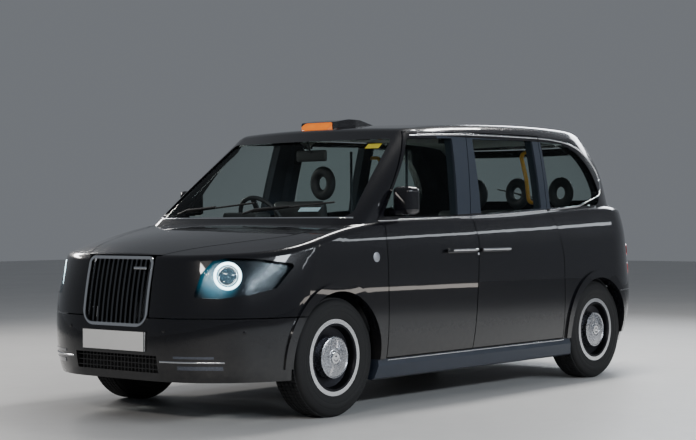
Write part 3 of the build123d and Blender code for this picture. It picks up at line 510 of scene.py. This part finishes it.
yellow_card = Finish("yellow_card", (0.85, 0.62, 0.03), 0.4)
yellow_card.shade(yellow_card.grain(80, 3), (0.80, 0.56, 0.02), (0.90, 0.68, 0.05))
pale_card = Finish("pale_card", (0.55, 0.70, 0.80), 0.4)
pale_card.shade(pale_card.grain(80, 3), (0.50, 0.66, 0.78), (0.62, 0.76, 0.85))
permits = [
    # name, finish, y and z of its middle, width, height
    ("permit_high", yellow_card, 0.585, 1.655, 0.10, 0.05),
    ("permit_low", pale_card, 0.50, 1.245, 0.15, 0.04),
]
behind_glass = 0.008
for name, card, y, z, width, height in permits:
    middle = on_screen(y, z)
    across = (on_screen(y + width / 2, z) - on_screen(y - width / 2, z)).normalized()
    upward = (on_screen(y, z + height / 2) - on_screen(y, z - height / 2)).normalized()
    inward = across.cross(upward).normalized()
    inward = inward if inward.x < 0 else -inward
    bpy.ops.mesh.primitive_plane_add(size=1, location=(0, 0, 0))
    bpy.ops.object.mode_set(mode="EDIT")
    bpy.ops.mesh.subdivide(number_cuts=4)
    bpy.ops.object.mode_set(mode="OBJECT")
    sheet = bpy.context.object
    for vertex in sheet.data.vertices:
        flat = vertex.co.x * width * across + vertex.co.y * height * upward
        vertex.co = middle + flat + behind_glass * inward
    solid = sheet.modifiers.new("card", "SOLIDIFY")
    solid.thickness = 0.0006
    bpy.ops.object.modifier_apply(modifier="card")
    settle(name, "cab", card)

slab((front_axle_x - 0.845, -0.13, 1.565), (front_axle_x - 0.820, 0.13, 1.640), 0.012)
settle("inside_mirror", "cab", matt_black)
bead([(front_axle_x - 0.822, 0, 1.62), (front_axle_x - 0.80, 0, 1.67), (front_axle_x - 0.79, 0, 1.70)], 0.007)
settle("inside_mirror_stalk", "cab", matt_black)


# Tyres: black rubber road tyres, moulded with five rows of tread blocks and fine rings on the
# sidewall. Each stands on its rim and turns with it.
rear_axle_x = -1.5075
axle_z = 0.3555
half_track = 0.805


def turn_section(section, axle_x, steps):
    """Turns a half section round an axle across the cab. Its points are a distance and a radius."""
    bpy.ops.object.select_all(action="DESELECT")
    bpy.ops.mesh.primitive_plane_add(size=0.01, location=(0, 0, 0))
    bpy.ops.object.mode_set(mode="EDIT")
    bpy.ops.mesh.select_mode(type="VERT")
    bpy.ops.mesh.merge(type="CENTER")
    places = [Vector((axle_x, along, axle_z + radius)) for along, radius in section]
    bpy.ops.transform.translate(value=places[0])
    for here, after in zip(places, places[1:]):
        bpy.ops.mesh.extrude_region_move(TRANSFORM_OT_translate={"value": after - here})
    bpy.ops.mesh.extrude_region_move(TRANSFORM_OT_translate={"value": places[0] - places[-1]})
    bpy.ops.mesh.select_all(action="SELECT")
    bpy.ops.mesh.spin(steps=steps, angle=2 * pi, center=(axle_x, 0, axle_z), axis=(0, 1, 0))
    bpy.ops.mesh.select_all(action="SELECT")
    bpy.ops.mesh.remove_doubles(threshold=0.00002)
    bpy.ops.mesh.normals_make_consistent(inside=False)
    bpy.ops.mesh.select_all(action="DESELECT")
    bpy.ops.object.mode_set(mode="OBJECT")
    return bpy.context.object


def raise_faces(piece, wanted, inset, height):
    """Raises each wanted face of a piece on its own, with sloping sides."""
    for face in piece.data.polygons:
        face.select = wanted(face)
    bpy.ops.object.mode_set(mode="EDIT")
    bpy.ops.mesh.select_mode(type="FACE")
    bpy.ops.mesh.inset(thickness=inset, depth=height, use_individual=True)
    bpy.ops.mesh.select_all(action="DESELECT")
    bpy.ops.object.mode_set(mode="OBJECT")


def off_axle(place, axle_x):
    """How far a place is from an axle."""
    return ((place.x - axle_x) ** 2 + (place.z - axle_z) ** 2) ** 0.5


tread_base = 0.3475
tread_rows = [-0.077, -0.051, -0.044, -0.022, -0.015, 0.015, 0.022, 0.044, 0.051, 0.077]
wall_section = [
    (0.088, 0.3455),
    (0.097, 0.338),
    (0.1035, 0.323),
    (0.1062, 0.310),
    (0.1050, 0.3085),
    (0.1068, 0.306),
    (0.1075, 0.290),
    (0.1068, 0.276),
    (0.1055, 0.2745),
    (0.1062, 0.272),
    (0.1025, 0.254),
    (0.0975, 0.241),
    (0.0968, 0.2365),
    (0.0935, 0.2345),
    (0.0905, 0.230),
    (0.088, 0.217),
]
far_wall = [(-y, radius) for y, radius in reversed(wall_section)]
tyre_section = [(y, tread_base) for y in tread_rows] + wall_section + far_wall
row_middles = [(a + b) / 2 for a, b in zip(tread_rows[::2], tread_rows[1::2])]
block_inset, block_height = 0.0022, 0.0078
rubber = Finish("tyre_rubber", (0.017, 0.017, 0.018), 0.75, Specular_IOR_Level=0.3)
worn = rubber.grain(55, 4)
rubber.shade(worn, (0.006, 0.006, 0.007), (0.018, 0.018, 0.018))
rubber.wire(Roughness=0.62 + 0.25 * worn)
rubber.bump(rubber.grain(420, 3), 0.18, 0.0006)
wheel_places = [
    (f"{end}_{label}", axle_x, side)
    for end, axle_x in (("front", front_axle_x), ("rear", rear_axle_x))
    for label, side in (("left", 1), ("right", -1))
]
for place, axle_x, side in wheel_places:
    middle = side * half_track
    tyre = turn_section([(middle + y, radius) for y, radius in tyre_section], axle_x, 84)

    def on_tread(face):
        in_row = any(abs(face.center.y - middle - y) < 0.002 for y in row_middles)
        return in_row and off_axle(face.center, axle_x) > tread_base - 0.001

    raise_faces(tyre, on_tread, block_inset, block_height)
    tread = settle(f"tread_{place}", f"wheel_{place}", rubber, 40)
    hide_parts(f"tyre_{place}")

# Wheels: pressed steel, dark in the dish, with a bright machined edge. A silver cap with fine
# radial ribs covers the hub, and a plain boss closes its middle.
for end, axle_x in (("front", front_axle_x), ("rear", rear_axle_x)):
    rim_metal = Finish(f"rim_metal_{end}", (0.05, 0.05, 0.055), 0.3, Metallic=0.9)
    out_x = rim_metal.axis("X") - axle_x
    out_z = rim_metal.axis("Z") - axle_z
    radius = (out_x**2 + out_z**2) ** 0.5
    across = abs(rim_metal.axis("Y")) - half_track
    machined = (radius > 0.2035) * (across > 0.055)
    bright = rim_metal.grain(60, 3, (1, 0.2, 1))
    dark = rim_metal.blend(bright, (0.012, 0.012, 0.015), (0.030, 0.030, 0.036))
    silver = rim_metal.blend(bright, (0.66, 0.67, 0.69), (0.80, 0.81, 0.83))
    rim_metal.shade(machined, dark, silver)
    rim_metal.wire(Roughness=0.34 - 0.18 * machined + 0.10 * bright)
    dress(rim_metal, f"rim_{end}_left", f"rim_{end}_right")
cap_silver = Finish("cap_silver", (0.48, 0.49, 0.52), 0.24, Metallic=1.0)
cap_silver.wire(Roughness=0.20 + 0.14 * cap_silver.grain(70, 4))
cap_silver.bump(cap_silver.grain(350, 2), 0.05, 0.0003)
cap_section = [
    (0.0370, 0.1215), (0.0860, 0.1255), (0.0935, 0.1235), (0.0955, 0.1180), (0.0925, 0.1140),
    (0.0930, 0.1080), (0.0985, 0.0560), (0.1005, 0.0525), (0.1005, 0.0475), (0.0985, 0.0455),
    (0.0955, 0.0455), (0.0945, 0.0360),
]
boss_section = [
    (0.0940, 0.0380), (0.1020, 0.0365), (0.1040, 0.0320), (0.1042, 0.0235), (0.1030, 0.0200),
    (0.1030, 0.0120), (0.1042, 0.0080), (0.1045, 0.0005), (0.0960, 0.0005),
]
rib_inset, rib_height = 0.0010, 0.0016
for place, axle_x, side in wheel_places:
    middle = side * half_track
    cap = turn_section([(middle + side * y, radius) for y, radius in cap_section], axle_x, 90)

    def on_ribs(face):
        outer = abs(face.center.y - middle) > 0.094
        return outer and 0.060 < off_axle(face.center, axle_x) < 0.100

    raise_faces(cap, on_ribs, rib_inset, rib_height)
    settle(f"wheel_cap_{place}", f"wheel_{place}", cap_silver, 30)
    turn_section([(middle + side * y, radius) for y, radius in boss_section], axle_x, 48)
    settle(f"wheel_boss_{place}", f"wheel_{place}", polished, 40)


# Front bumper: on each side two dark lenses, one above the other, with a bright bar between them.
# There are four parking sensors, and a thin black frame round the blank plate.
def stud(name, place, outward, radius, height, finish, body="cab"):
    """A round button standing on a surface."""
    bpy.ops.object.select_all(action="DESELECT")
    turn = outward.to_track_quat("Z", "Y").to_euler()
    middle = place + (height / 2 - 0.001) * outward
    bpy.ops.mesh.primitive_cylinder_add(
        vertices=32, radius=radius, depth=height + 0.002, location=middle, rotation=turn
    )
    edge = bpy.context.object.modifiers.new("edge", "BEVEL")
    edge.width = min(radius, height) * 0.3
    edge.segments = 2
    bpy.ops.object.modifier_apply(modifier="edge")
    settle(name, body, finish)


def laid(columns, rows, place, thickness):
    """A sheet whose points are placed by a rule of how far across and how far up they are."""
    bpy.ops.object.select_all(action="DESELECT")
    bpy.ops.mesh.primitive_grid_add(x_subdivisions=columns, y_subdivisions=rows, size=1)
    sheet = bpy.context.object
    for vertex in sheet.data.vertices:
        vertex.co = place(vertex.co.x + 0.5, vertex.co.y + 0.5)
    solid = sheet.modifiers.new("sheet", "SOLIDIFY")
    solid.thickness = thickness
    solid.offset = 0
    bpy.ops.object.modifier_apply(modifier="sheet")
    bpy.ops.object.mode_set(mode="EDIT")
    bpy.ops.mesh.select_all(action="SELECT")
    bpy.ops.mesh.normals_make_consistent(inside=False)
    bpy.ops.object.mode_set(mode="OBJECT")


dark_lens = Finish("dark_lens", (0.05, 0.06, 0.075), 0.08, Coat_Weight=1.0)
dark_lens.shade(dark_lens.grain(160, 2, (0.2, 1, 1)), (0.01, 0.012, 0.018), (0.07, 0.085, 0.12))
bumper = ["front_bumper"]
bumper_lenses = [
    # name, nearest to the middle, furthest from it, lowest, highest
    ("upper", 0.46, 0.675, 0.388, 0.402),
    ("lower", 0.48, 0.71, 0.324, 0.346),
]
parking_sensors = [
    # number, y, z, how far it is turned outwards
    (0, 0.40, 0.545, 0.15),
    (1, 0.80, 0.535, 0.55),
]
bar_start, bar_step, bar_z = 0.368, 0.0195, 0.368
for side, label in ((1, "left"), (-1, "right")):
    for name, near, far, low, high in bumper_lenses:

        def on_bumper(across, up):
            skin = from_ahead(bumper, side * (near + (far - near) * across), low + (high - low) * up)
            return skin + Vector((0.001, 0, 0))

        laid(16, 4, on_bumper, 0.004)
        settle(f"bumper_lens_{name}_{label}", "cab", dark_lens, 50)
    bar_line = [from_ahead(bumper, side * (bar_start + bar_step * k), bar_z) for k in range(19)]
    bead(bar_line, 0.0060)
    settle(f"bumper_bar_{label}", "cab", polished, 60)
    for number, y, z, splay in parking_sensors:
        skin = from_ahead(bumper, side * y, z)
        outward = Vector((1, side * splay, 0)).normalized()
        stud(f"parking_sensor_{label}_{number}", skin, outward, 0.0115, 0.003, lacquer)
plate_low, plate_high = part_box("front_plate")
frame_x = plate_high[0] - 0.006
bead(
    [
        (frame_x, plate_low[1], plate_low[2]),
        (frame_x, plate_high[1], plate_low[2]),
        (frame_x, plate_high[1], plate_high[2]),
        (frame_x, plate_low[1], plate_high[2]),
    ],
    0.004,
    closed=True,
)
settle("plate_frame", "cab", matt_black, 60)
plate_white = Finish("plate_white", (0.82, 0.82, 0.80), 0.35)
plate_white.shade(plate_white.grain(14, 4), (0.80, 0.80, 0.78), (0.86, 0.86, 0.85))
dress(plate_white, "front_plate")

# Wings: a plain satin disc is stuck on each, ahead of the front door. It is stamped in thin
# metal and has nothing on it.
satin_silver = Finish("satin_silver", (0.42, 0.43, 0.46), 0.35, Metallic=0.9)
satin_silver.wire(Roughness=0.30 + 0.15 * satin_silver.grain(60, 3))
for side, label in ((1, "left"), (-1, "right")):
    middle = on_side(["front_wings"], front_axle_x - 0.362, 0.945, side)
    outward = Vector((0, side, 0.06)).normalized()
    stud(f"wing_disc_{label}", middle, outward, 0.030, 0.003, satin_silver)

# Doors: each handle has a bright grip strip, with a key barrel on the front one. Inside are
# cards moulded in dark grained plastic, bowed out from the door's panel.
card_dark = Finish("card_dark", (0.028, 0.029, 0.032), 0.6)
card_dark.shade(card_dark.grain(30, 4), (0.022, 0.023, 0.026), (0.040, 0.041, 0.045))
card_dark.bump(card_dark.grain(700, 2), 0.3, 0.0004)
door_ends = [
    # end, rear and front of its handle from the front axle, rear and front of its card
    ("front", -1.453, -1.110, 0.20, 0.90),
    ("rear", -1.794, -1.453, -0.82, -0.06),
]
handle_z, grip_inset = 0.974, 0.012
card_foot, card_height, card_edge, card_bow = 0.43, 0.72, 0.006, 0.022
for side, label in ((1, "left"), (-1, "right")):
    for end, handle_low, handle_high, card_low, card_high in door_ends:
        door = f"door_{end}_{label}"
        grip_low, grip_high = handle_low + grip_inset, handle_high - grip_inset
        grip_line = []
        for k in range(13):
            x = front_axle_x + grip_low + (grip_high - grip_low) * k / 12
            grip_line.append(on_side([door], x, handle_z, side) + Vector((0, 0.001 * side, 0)))
        bead(grip_line, 0.0085)
        settle(f"handle_strip_{end}_{label}", door, polished, 60)

        def inside_door(along, up):
            x = card_low + (card_high - card_low) * along
            skin, normal = meet([door], (x, 0, card_foot + card_height * up), (0, side, 0))
            return skin - Vector((0, side * (card_edge + card_bow * (1 - abs(2 * up - 1) ** 6)), 0))

        laid(16, 12, inside_door, 0.005)
        settle(f"door_card_{end}_{label}", door, card_dark, 50)
    key_door = f"door_front_{label}"
    key_place = on_side([key_door], front_axle_x - 1.445, 0.945, side)
    outward = Vector((0, side, 0))
    stud(f"key_barrel_{label}", key_place, outward, 0.009, 0.002, polished, key_door)

# Sills: satin dark plastic mouldings, clipped on below the doors. A thin bright line runs along
# their upper edge.
satin_dark = Finish("satin_dark", (0.030, 0.038, 0.050), 0.4)
sill_dust = satin_dark.grain(22, 5)
satin_dark.shade(sill_dust, (0.008, 0.013, 0.024), (0.024, 0.032, 0.048))
satin_dark.wire(Roughness=0.34 + 0.22 * sill_dust)
dress(satin_dark, "side_sills")
sill_low, sill_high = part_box("side_sills")
end_gap = 0.03
for side, label in ((1, "left"), (-1, "right")):
    sill_line = []
    for k in range(25):
        x = sill_low[0] + end_gap + (sill_high[0] - sill_low[0] - 2 * end_gap) * k / 24
        sill_line.append(on_side(["side_sills"], x, sill_high[2] - 0.008, side))
    bead([place for place in sill_line if place], 0.0045)
    settle(f"sill_line_{label}", "cab", polished, 60)

# Door mirrors: gloss black moulded shells on the front doors, each with its silvered glass facing
# back in a black bezel.
dress(lacquer, "mirror_left", "mirror_right")
mirror_silver = Finish("mirror_silver", (0.92, 0.93, 0.94), 0.02, Metallic=1.0)
mirror_silver.wire(Roughness=0.015 + 0.02 * mirror_silver.grain(5, 2))
for side, label in ((1, "left"), (-1, "right")):
    rear_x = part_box(f"mirror_{label}")[0][0]
    ends = sorted((side * 0.893, side * 1.004))
    slab((rear_x - 0.001, ends[0], 1.218), (rear_x + 0.006, ends[1], 1.366), 0.003)
    settle(f"mirror_bezel_{label}", f"door_front_{label}", matt_black)
    slab((rear_x - 0.003, ends[0] + 0.006, 1.224), (rear_x + 0.002, ends[1] - 0.006, 1.360), 0.0015)
    settle(f"mirror_glass_{label}", f"door_front_{label}", mirror_silver)

# Roof sign: a lit amber lens with nothing on it, moulded in one piece and let into the front of
# a gloss black pod on the roof.
dress(lacquer, "roof_sign")
amber = Finish("amber_lens", (0.90, 0.28, 0.01), 0.25)
sign_z = amber.axis("Z")
glow_height = sign_z.ramp(1.74, 1.80) * (1 - sign_z.ramp(1.80, 1.85)) * amber.grain(12, 2)
amber.shade(glow_height, (0.45, 0.10, 0.005), (0.85, 0.24, 0.01))
amber.wire(Emission_Color=amber.blend(glow_height, (0.60, 0.10, 0.002), (1.0, 0.26, 0.01)))
amber.shader.inputs["Emission Strength"].default_value = 0.75
dress(amber, "sign_lens")

# Tail: round red lamps with a pale ring, a high brake lamp, a wiper on the tailgate glass, a
# bright handle, and two reflectors in the bumper.
red_lens = Finish("red_lens", (0.42, 0.01, 0.012), 0.12, Coat_Weight=1.0)
lamps_apart, lamps_height, lamps_spacing = 0.770, 0.860, 0.070
ring_y = abs(red_lens.axis("Y")) - lamps_apart
ring_z = abs(red_lens.axis("Z") - lamps_height) - lamps_spacing
from_middle = (ring_y**2 + ring_z**2) ** 0.5
facets = red_lens.grain(260, 1)
red = red_lens.blend(facets, (0.30, 0.006, 0.008), (0.60, 0.02, 0.02))
red_lens.shade((from_middle > 0.028) * (from_middle < 0.034), red, (0.75, 0.75, 0.76))
lit = red_lens.blend(from_middle.ramp(0.0, 0.03), (0.35, 0.01, 0.01), (0.05, 0.0, 0.0))
red_lens.wire(Emission_Color=lit)
red_lens.shader.inputs["Emission Strength"].default_value = 0.5
dress(red_lens, "tail_lamps")


def from_behind(names, y, z):
    """Where the rearmost of these panels lies and how it faces, at a distance across and a height."""
    return meet(names, (-3.2, y, z), (1, 0, 0))


tail_panels = ["tailgate", "tailgate_glass"]


def brake_strip(across, up):
    place, normal = from_behind(["tailgate"], 0.5 * across - 0.25, 1.684 + 0.018 * up)
    return place + 0.002 * normal


laid(12, 2, brake_strip, 0.004)
settle("high_brake_lamp", "tailgate", red_lens, 50)
wiper_root, outward = from_behind(tail_panels, 0.0, 1.285)
stud("rear_wiper_hub", wiper_root, outward, 0.024, 0.022, matt_black, "tailgate")
rear_wiper = [
    # name, radius, height over the glass, its points across and up
    ("rear_wiper_arm", 0.007, 0.020, [(0.0, 1.285), (-0.12, 1.330), (-0.25, 1.375)]),
    ("rear_wiper_blade", 0.0055, 0.008, [(-0.04, 1.335), (-0.22, 1.375), (-0.40, 1.415)]),
]
for name, radius, lift, ends in rear_wiper:
    line = []
    for y, z in ends:
        place, outward = from_behind(tail_panels, y, z)
        line.append(place + lift * outward)
    bead(line, radius)
    settle(name, "tailgate", seal_rubber, 60)
handle_line = []
for k in range(11):
    place, outward = from_behind(["tailgate"], 0.05 * k - 0.25, 1.02)
    handle_line.append(place + 0.004 * outward)
bead(handle_line, 0.011)
settle("tailgate_handle", "tailgate", polished, 60)
# The reflectors share the red lens finish, so they give off its faint red glow. On them this glow is painted
# light, as they are no lamps.
for side, label in ((1, "left"), (-1, "right")):

    def reflector(across, up):
        place, normal = from_behind(["rear_bumper"], side * (0.52 + 0.16 * across), 0.400 + 0.035 * up)
        return place + 0.001 * normal

    laid(8, 2, reflector, 0.004)
    settle(f"rear_reflector_{label}", "cab", red_lens, 50)


# Seats: black leather cloth over foam, each with a cushion, a back and a looped head restraint on
# a dark plinth. The foam is blown up a little inside its cover, so the pads crown and pull in.
leather = Finish("seat_leather", (0.030, 0.030, 0.034), 0.5)
folds = leather.grain(14, 5)
leather.shade(folds, (0.022, 0.022, 0.025), (0.044, 0.044, 0.050))
leather.wire(Roughness=0.42 + 0.22 * folds)
leather.bump(leather.grain(420, 3), 0.25, 0.0006)


def pad(low, high, rounding, swell):
    """A foam pad between two corners, blown up inside its cover by up to the swell."""
    slab([a + 0.6 * swell for a in low], [b - 0.6 * swell for b in high], rounding, 4)
    piece = bpy.context.object
    remesh = piece.modifiers.new("weave", "REMESH")
    remesh.mode = "VOXEL"
    remesh.voxel_size = 0.012
    bpy.ops.object.modifier_apply(modifier="weave")
    start = [vertex.co.copy() for vertex in piece.data.vertices]
    cloth = piece.modifiers.new("cover", "CLOTH")
    cloth.settings.use_pressure = True
    cloth.settings.uniform_pressure_force = 4
    cloth.settings.effector_weights.gravity = 0
    for moment in range(1, 21):
        bpy.context.scene.frame_set(moment)
    bpy.ops.object.modifier_apply(modifier="cover")
    bpy.context.scene.frame_set(1)
    for vertex, place in zip(piece.data.vertices, start):
        moved = vertex.co - place
        if moved.length > swell:
            vertex.co = place + moved * swell / moved.length
    smooth = piece.modifiers.new("cover", "SUBSURF")
    smooth.levels = smooth.render_levels = 1
    bpy.ops.object.modifier_apply(modifier="cover")


def finish_pad(name, body="cab"):
    piece = settle(name, body, leather, 60)
    return piece


def lean(foot, tilt):
    """Turns the piece just made about a line across the cab."""
    bpy.ops.object.transform_apply(location=True, rotation=True, scale=True)
    bpy.ops.object.mode_set(mode="EDIT")
    bpy.ops.mesh.select_all(action="SELECT")
    bpy.ops.transform.rotate(value=tilt, orient_axis="Y", orient_type="GLOBAL", center_override=foot)
    bpy.ops.mesh.select_all(action="DESELECT")
    bpy.ops.object.mode_set(mode="OBJECT")


seat_places = [
    # name, rear of the cushion, y, width, floor, cushion height, head height, node
    ("driver", 0.1475, -0.4, 0.50, 0.356, 0.740, 1.560, "driver_seat"),
    ("bench_right", -1.7575, -0.4, 0.396, 0.560, 0.760, 1.500, "rear_bench"),
    ("bench_middle", -1.7575, 0.0, 0.396, 0.560, 0.760, 1.500, "rear_bench"),
    ("bench_left", -1.7575, 0.4, 0.396, 0.560, 0.760, 1.500, "rear_bench"),
]
for name, x, y, width, base, top, head, node in seat_places:
    half = width / 2
    pad((x + 0.06, y - half, top - 0.15), (x + 0.480, y + half, top), 0.045, 0.014)
    cushion = finish_pad(f"{name}_cushion")
    if name != "bench_right":
        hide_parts(node)
    back_height = head - 0.225 - top + 0.10
    pad((x + 0.005, y - half, top - 0.10), (x + 0.105, y + half, top - 0.10 + back_height), 0.04, 0.012)
    lean((x + 0.05, y, top - 0.08), -atan2(0.13, back_height))
    finish_pad(f"{name}_back")
    bpy.ops.mesh.primitive_torus_add(
        location=(x - 0.085, y, head - 0.125),
        rotation=(0, pi / 2, 0),
        major_radius=0.075,
        minor_radius=0.034,
        major_segments=40,
        minor_segments=16,
    )
    bpy.ops.transform.resize(value=(0.95, 1, 1.12))
    finish_pad(f"{name}_head_restraint")
    slab((x + 0.05, y - half + 0.03, base + 0.002), (x + 0.41, y + half - 0.03, top - 0.13), 0.02)
    settle(f"{name}_plinth", "cab", matt_black)
for label, y in (("right", -0.42), ("middle", 0.0), ("left", 0.42)):
    pad((-0.118, y - 0.19, 0.70), (-0.0745, y + 0.19, 1.04), 0.018, 0.006)
    folded = finish_pad(f"folding_back_{label}")
    pad((-0.162, y - 0.185, 0.48), (-0.120, y + 0.185, 0.96), 0.018, 0.006)
    finish_pad(f"folding_cushion_{label}")
    if label == "left":
        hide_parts("folding_seats")

# Cabin: pale lining under the roof, dark fascia with a hooded display, a middle screen and air
# vents, a leather wheel, a glazed partition on a dark panel, and bright yellow grab handles.
lining_cloth = Finish("lining_cloth", (0.42, 0.42, 0.41), 0.85)
lining_cloth.shade(lining_cloth.grain(200, 3), (0.36, 0.36, 0.35), (0.46, 0.46, 0.45))
lining_cloth.bump(lining_cloth.grain(900, 2), 0.2, 0.0004)


def under_roof(along, across):
    start = Vector((-1.75 + 2.3 * along, 1.24 * across - 0.62, 1.45))
    roof, normal = meet(["body_shell"], start, (0, 0, 1))
    return Vector((start.x, start.y, min(roof.z, 1.80) - 0.006 if roof else 1.66))


laid(24, 16, under_roof, 0.004)
settle("roof_lining", "cab", lining_cloth, 60)
dress(card_dark, "dashboard")
slab((0.785, -0.56, 1.170), (0.935, -0.24, 1.225), 0.02)
settle("display_hood", "cab", card_dark)
screen_dark = Finish("screen_dark", (0.006, 0.007, 0.009), 0.06, Coat_Weight=1.0)
screen_dark.wire(Roughness=0.05 + 0.03 * screen_dark.grain(20, 2))
slab((0.776, -0.53, 1.190), (0.787, -0.27, 1.217), 0.003)
settle("driver_display", "cab", screen_dark)
slab((0.722, -0.14, 1.000), (0.745, 0.06, 1.150), 0.006)
settle("middle_screen", "cab", screen_dark)
for number, y in enumerate((-0.70, -0.19, 0.14, 0.64)):
    for blade in range(4):
        slab((0.745, y - 0.045, 1.045 + 0.016 * blade), (0.775, y + 0.045, 1.050 + 0.016 * blade), 0.001, 2)
        settle(f"vent_blade_{number}_{blade}", "cab", matt_black)
dress(leather, "steering_wheel")
slab((-0.0735, -0.755, 0.358), (-0.0415, 0.755, 1.045), 0.004)
settle("partition_panel", "cab", card_dark)
for y in (-0.25, 0.25):
    bead([(-0.0745, y, 1.04), (-0.0745, y, 1.66)], 0.009)
    settle(f"partition_bar_{'left' if y > 0 else 'right'}", "cab", satin_dark, 60)
safety_yellow = Finish("safety_yellow", (0.90, 0.45, 0.03), 0.35, Coat_Weight=0.3)
safety_yellow.shade(safety_yellow.grain(40, 3), (0.86, 0.40, 0.02), (0.94, 0.52, 0.05))
dress(safety_yellow, "grab_handles")
floor_mat = Finish("floor_mat", (0.030, 0.031, 0.034), 0.7)
floor_mat.shade(floor_mat.grain(60, 4), (0.022, 0.023, 0.026), (0.050, 0.051, 0.055))
floor_mat.bump(floor_mat.grain(260, 2), 0.4, 0.001)
dress(floor_mat, "floor_pan")

# Running gear and heavy masses: black coated steel arms and hubs, coil springs, and a cast
# engine block with ribs. The battery is a plain grey tray.
coated = Finish("coated_steel", (0.035, 0.035, 0.038), 0.5, Metallic=0.3)
grime = coated.grain(18, 5)
coated.shade(grime, (0.028, 0.028, 0.030), (0.075, 0.068, 0.060))
coated.wire(Roughness=0.42 + 0.3 * grime)
dress(coated, "knuckle_left", "knuckle_right", "front_suspension", "rear_axle")
casting = Finish("engine_casting", (0.28, 0.28, 0.29), 0.5, Metallic=0.85)
casting.shade(casting.grain(20, 5), (0.20, 0.20, 0.21), (0.34, 0.34, 0.35))
casting.bump(casting.grain(300, 3), 0.3, 0.0008)
dress(casting, "engine_block")
tray_grey = Finish("tray_grey", (0.10, 0.105, 0.11), 0.45, Metallic=0.6)
tray_grey.shade(tray_grey.grain(12, 5), (0.08, 0.085, 0.09), (0.15, 0.15, 0.155))
dress(tray_grey, "battery_pack")
for rib in range(5):
    x = front_axle_x - 0.060 + 0.11 * rib
    slab((x, -0.225, 0.838), (x + 0.03, 0.225, 0.858), 0.006)
    settle(f"engine_rib_{rib}", "cab", casting)
springs = [
    # name, x, distance across, lowest, highest, radius of the coil
    ("front_spring", front_axle_x, 0.545, 0.40, 0.68, 0.062),
    ("rear_spring", rear_axle_x - 0.020, 0.520, 0.395, 0.512, 0.060),
]
for name, x, y, low, high, radius in springs:
    turns = 6 if high - low > 0.2 else 4
    for side, label in ((1, "left"), (-1, "right")):
        coil = []
        for k in range(16 * turns + 1):
            angle = 2 * pi * k / 16
            z = low + (high - low) * k / (16 * turns)
            coil.append((x + radius * cos(angle), side * y + radius * sin(angle), z))
        bead(coil, 0.0065)
        settle(f"{name}_{label}", "cab", coated, 60)
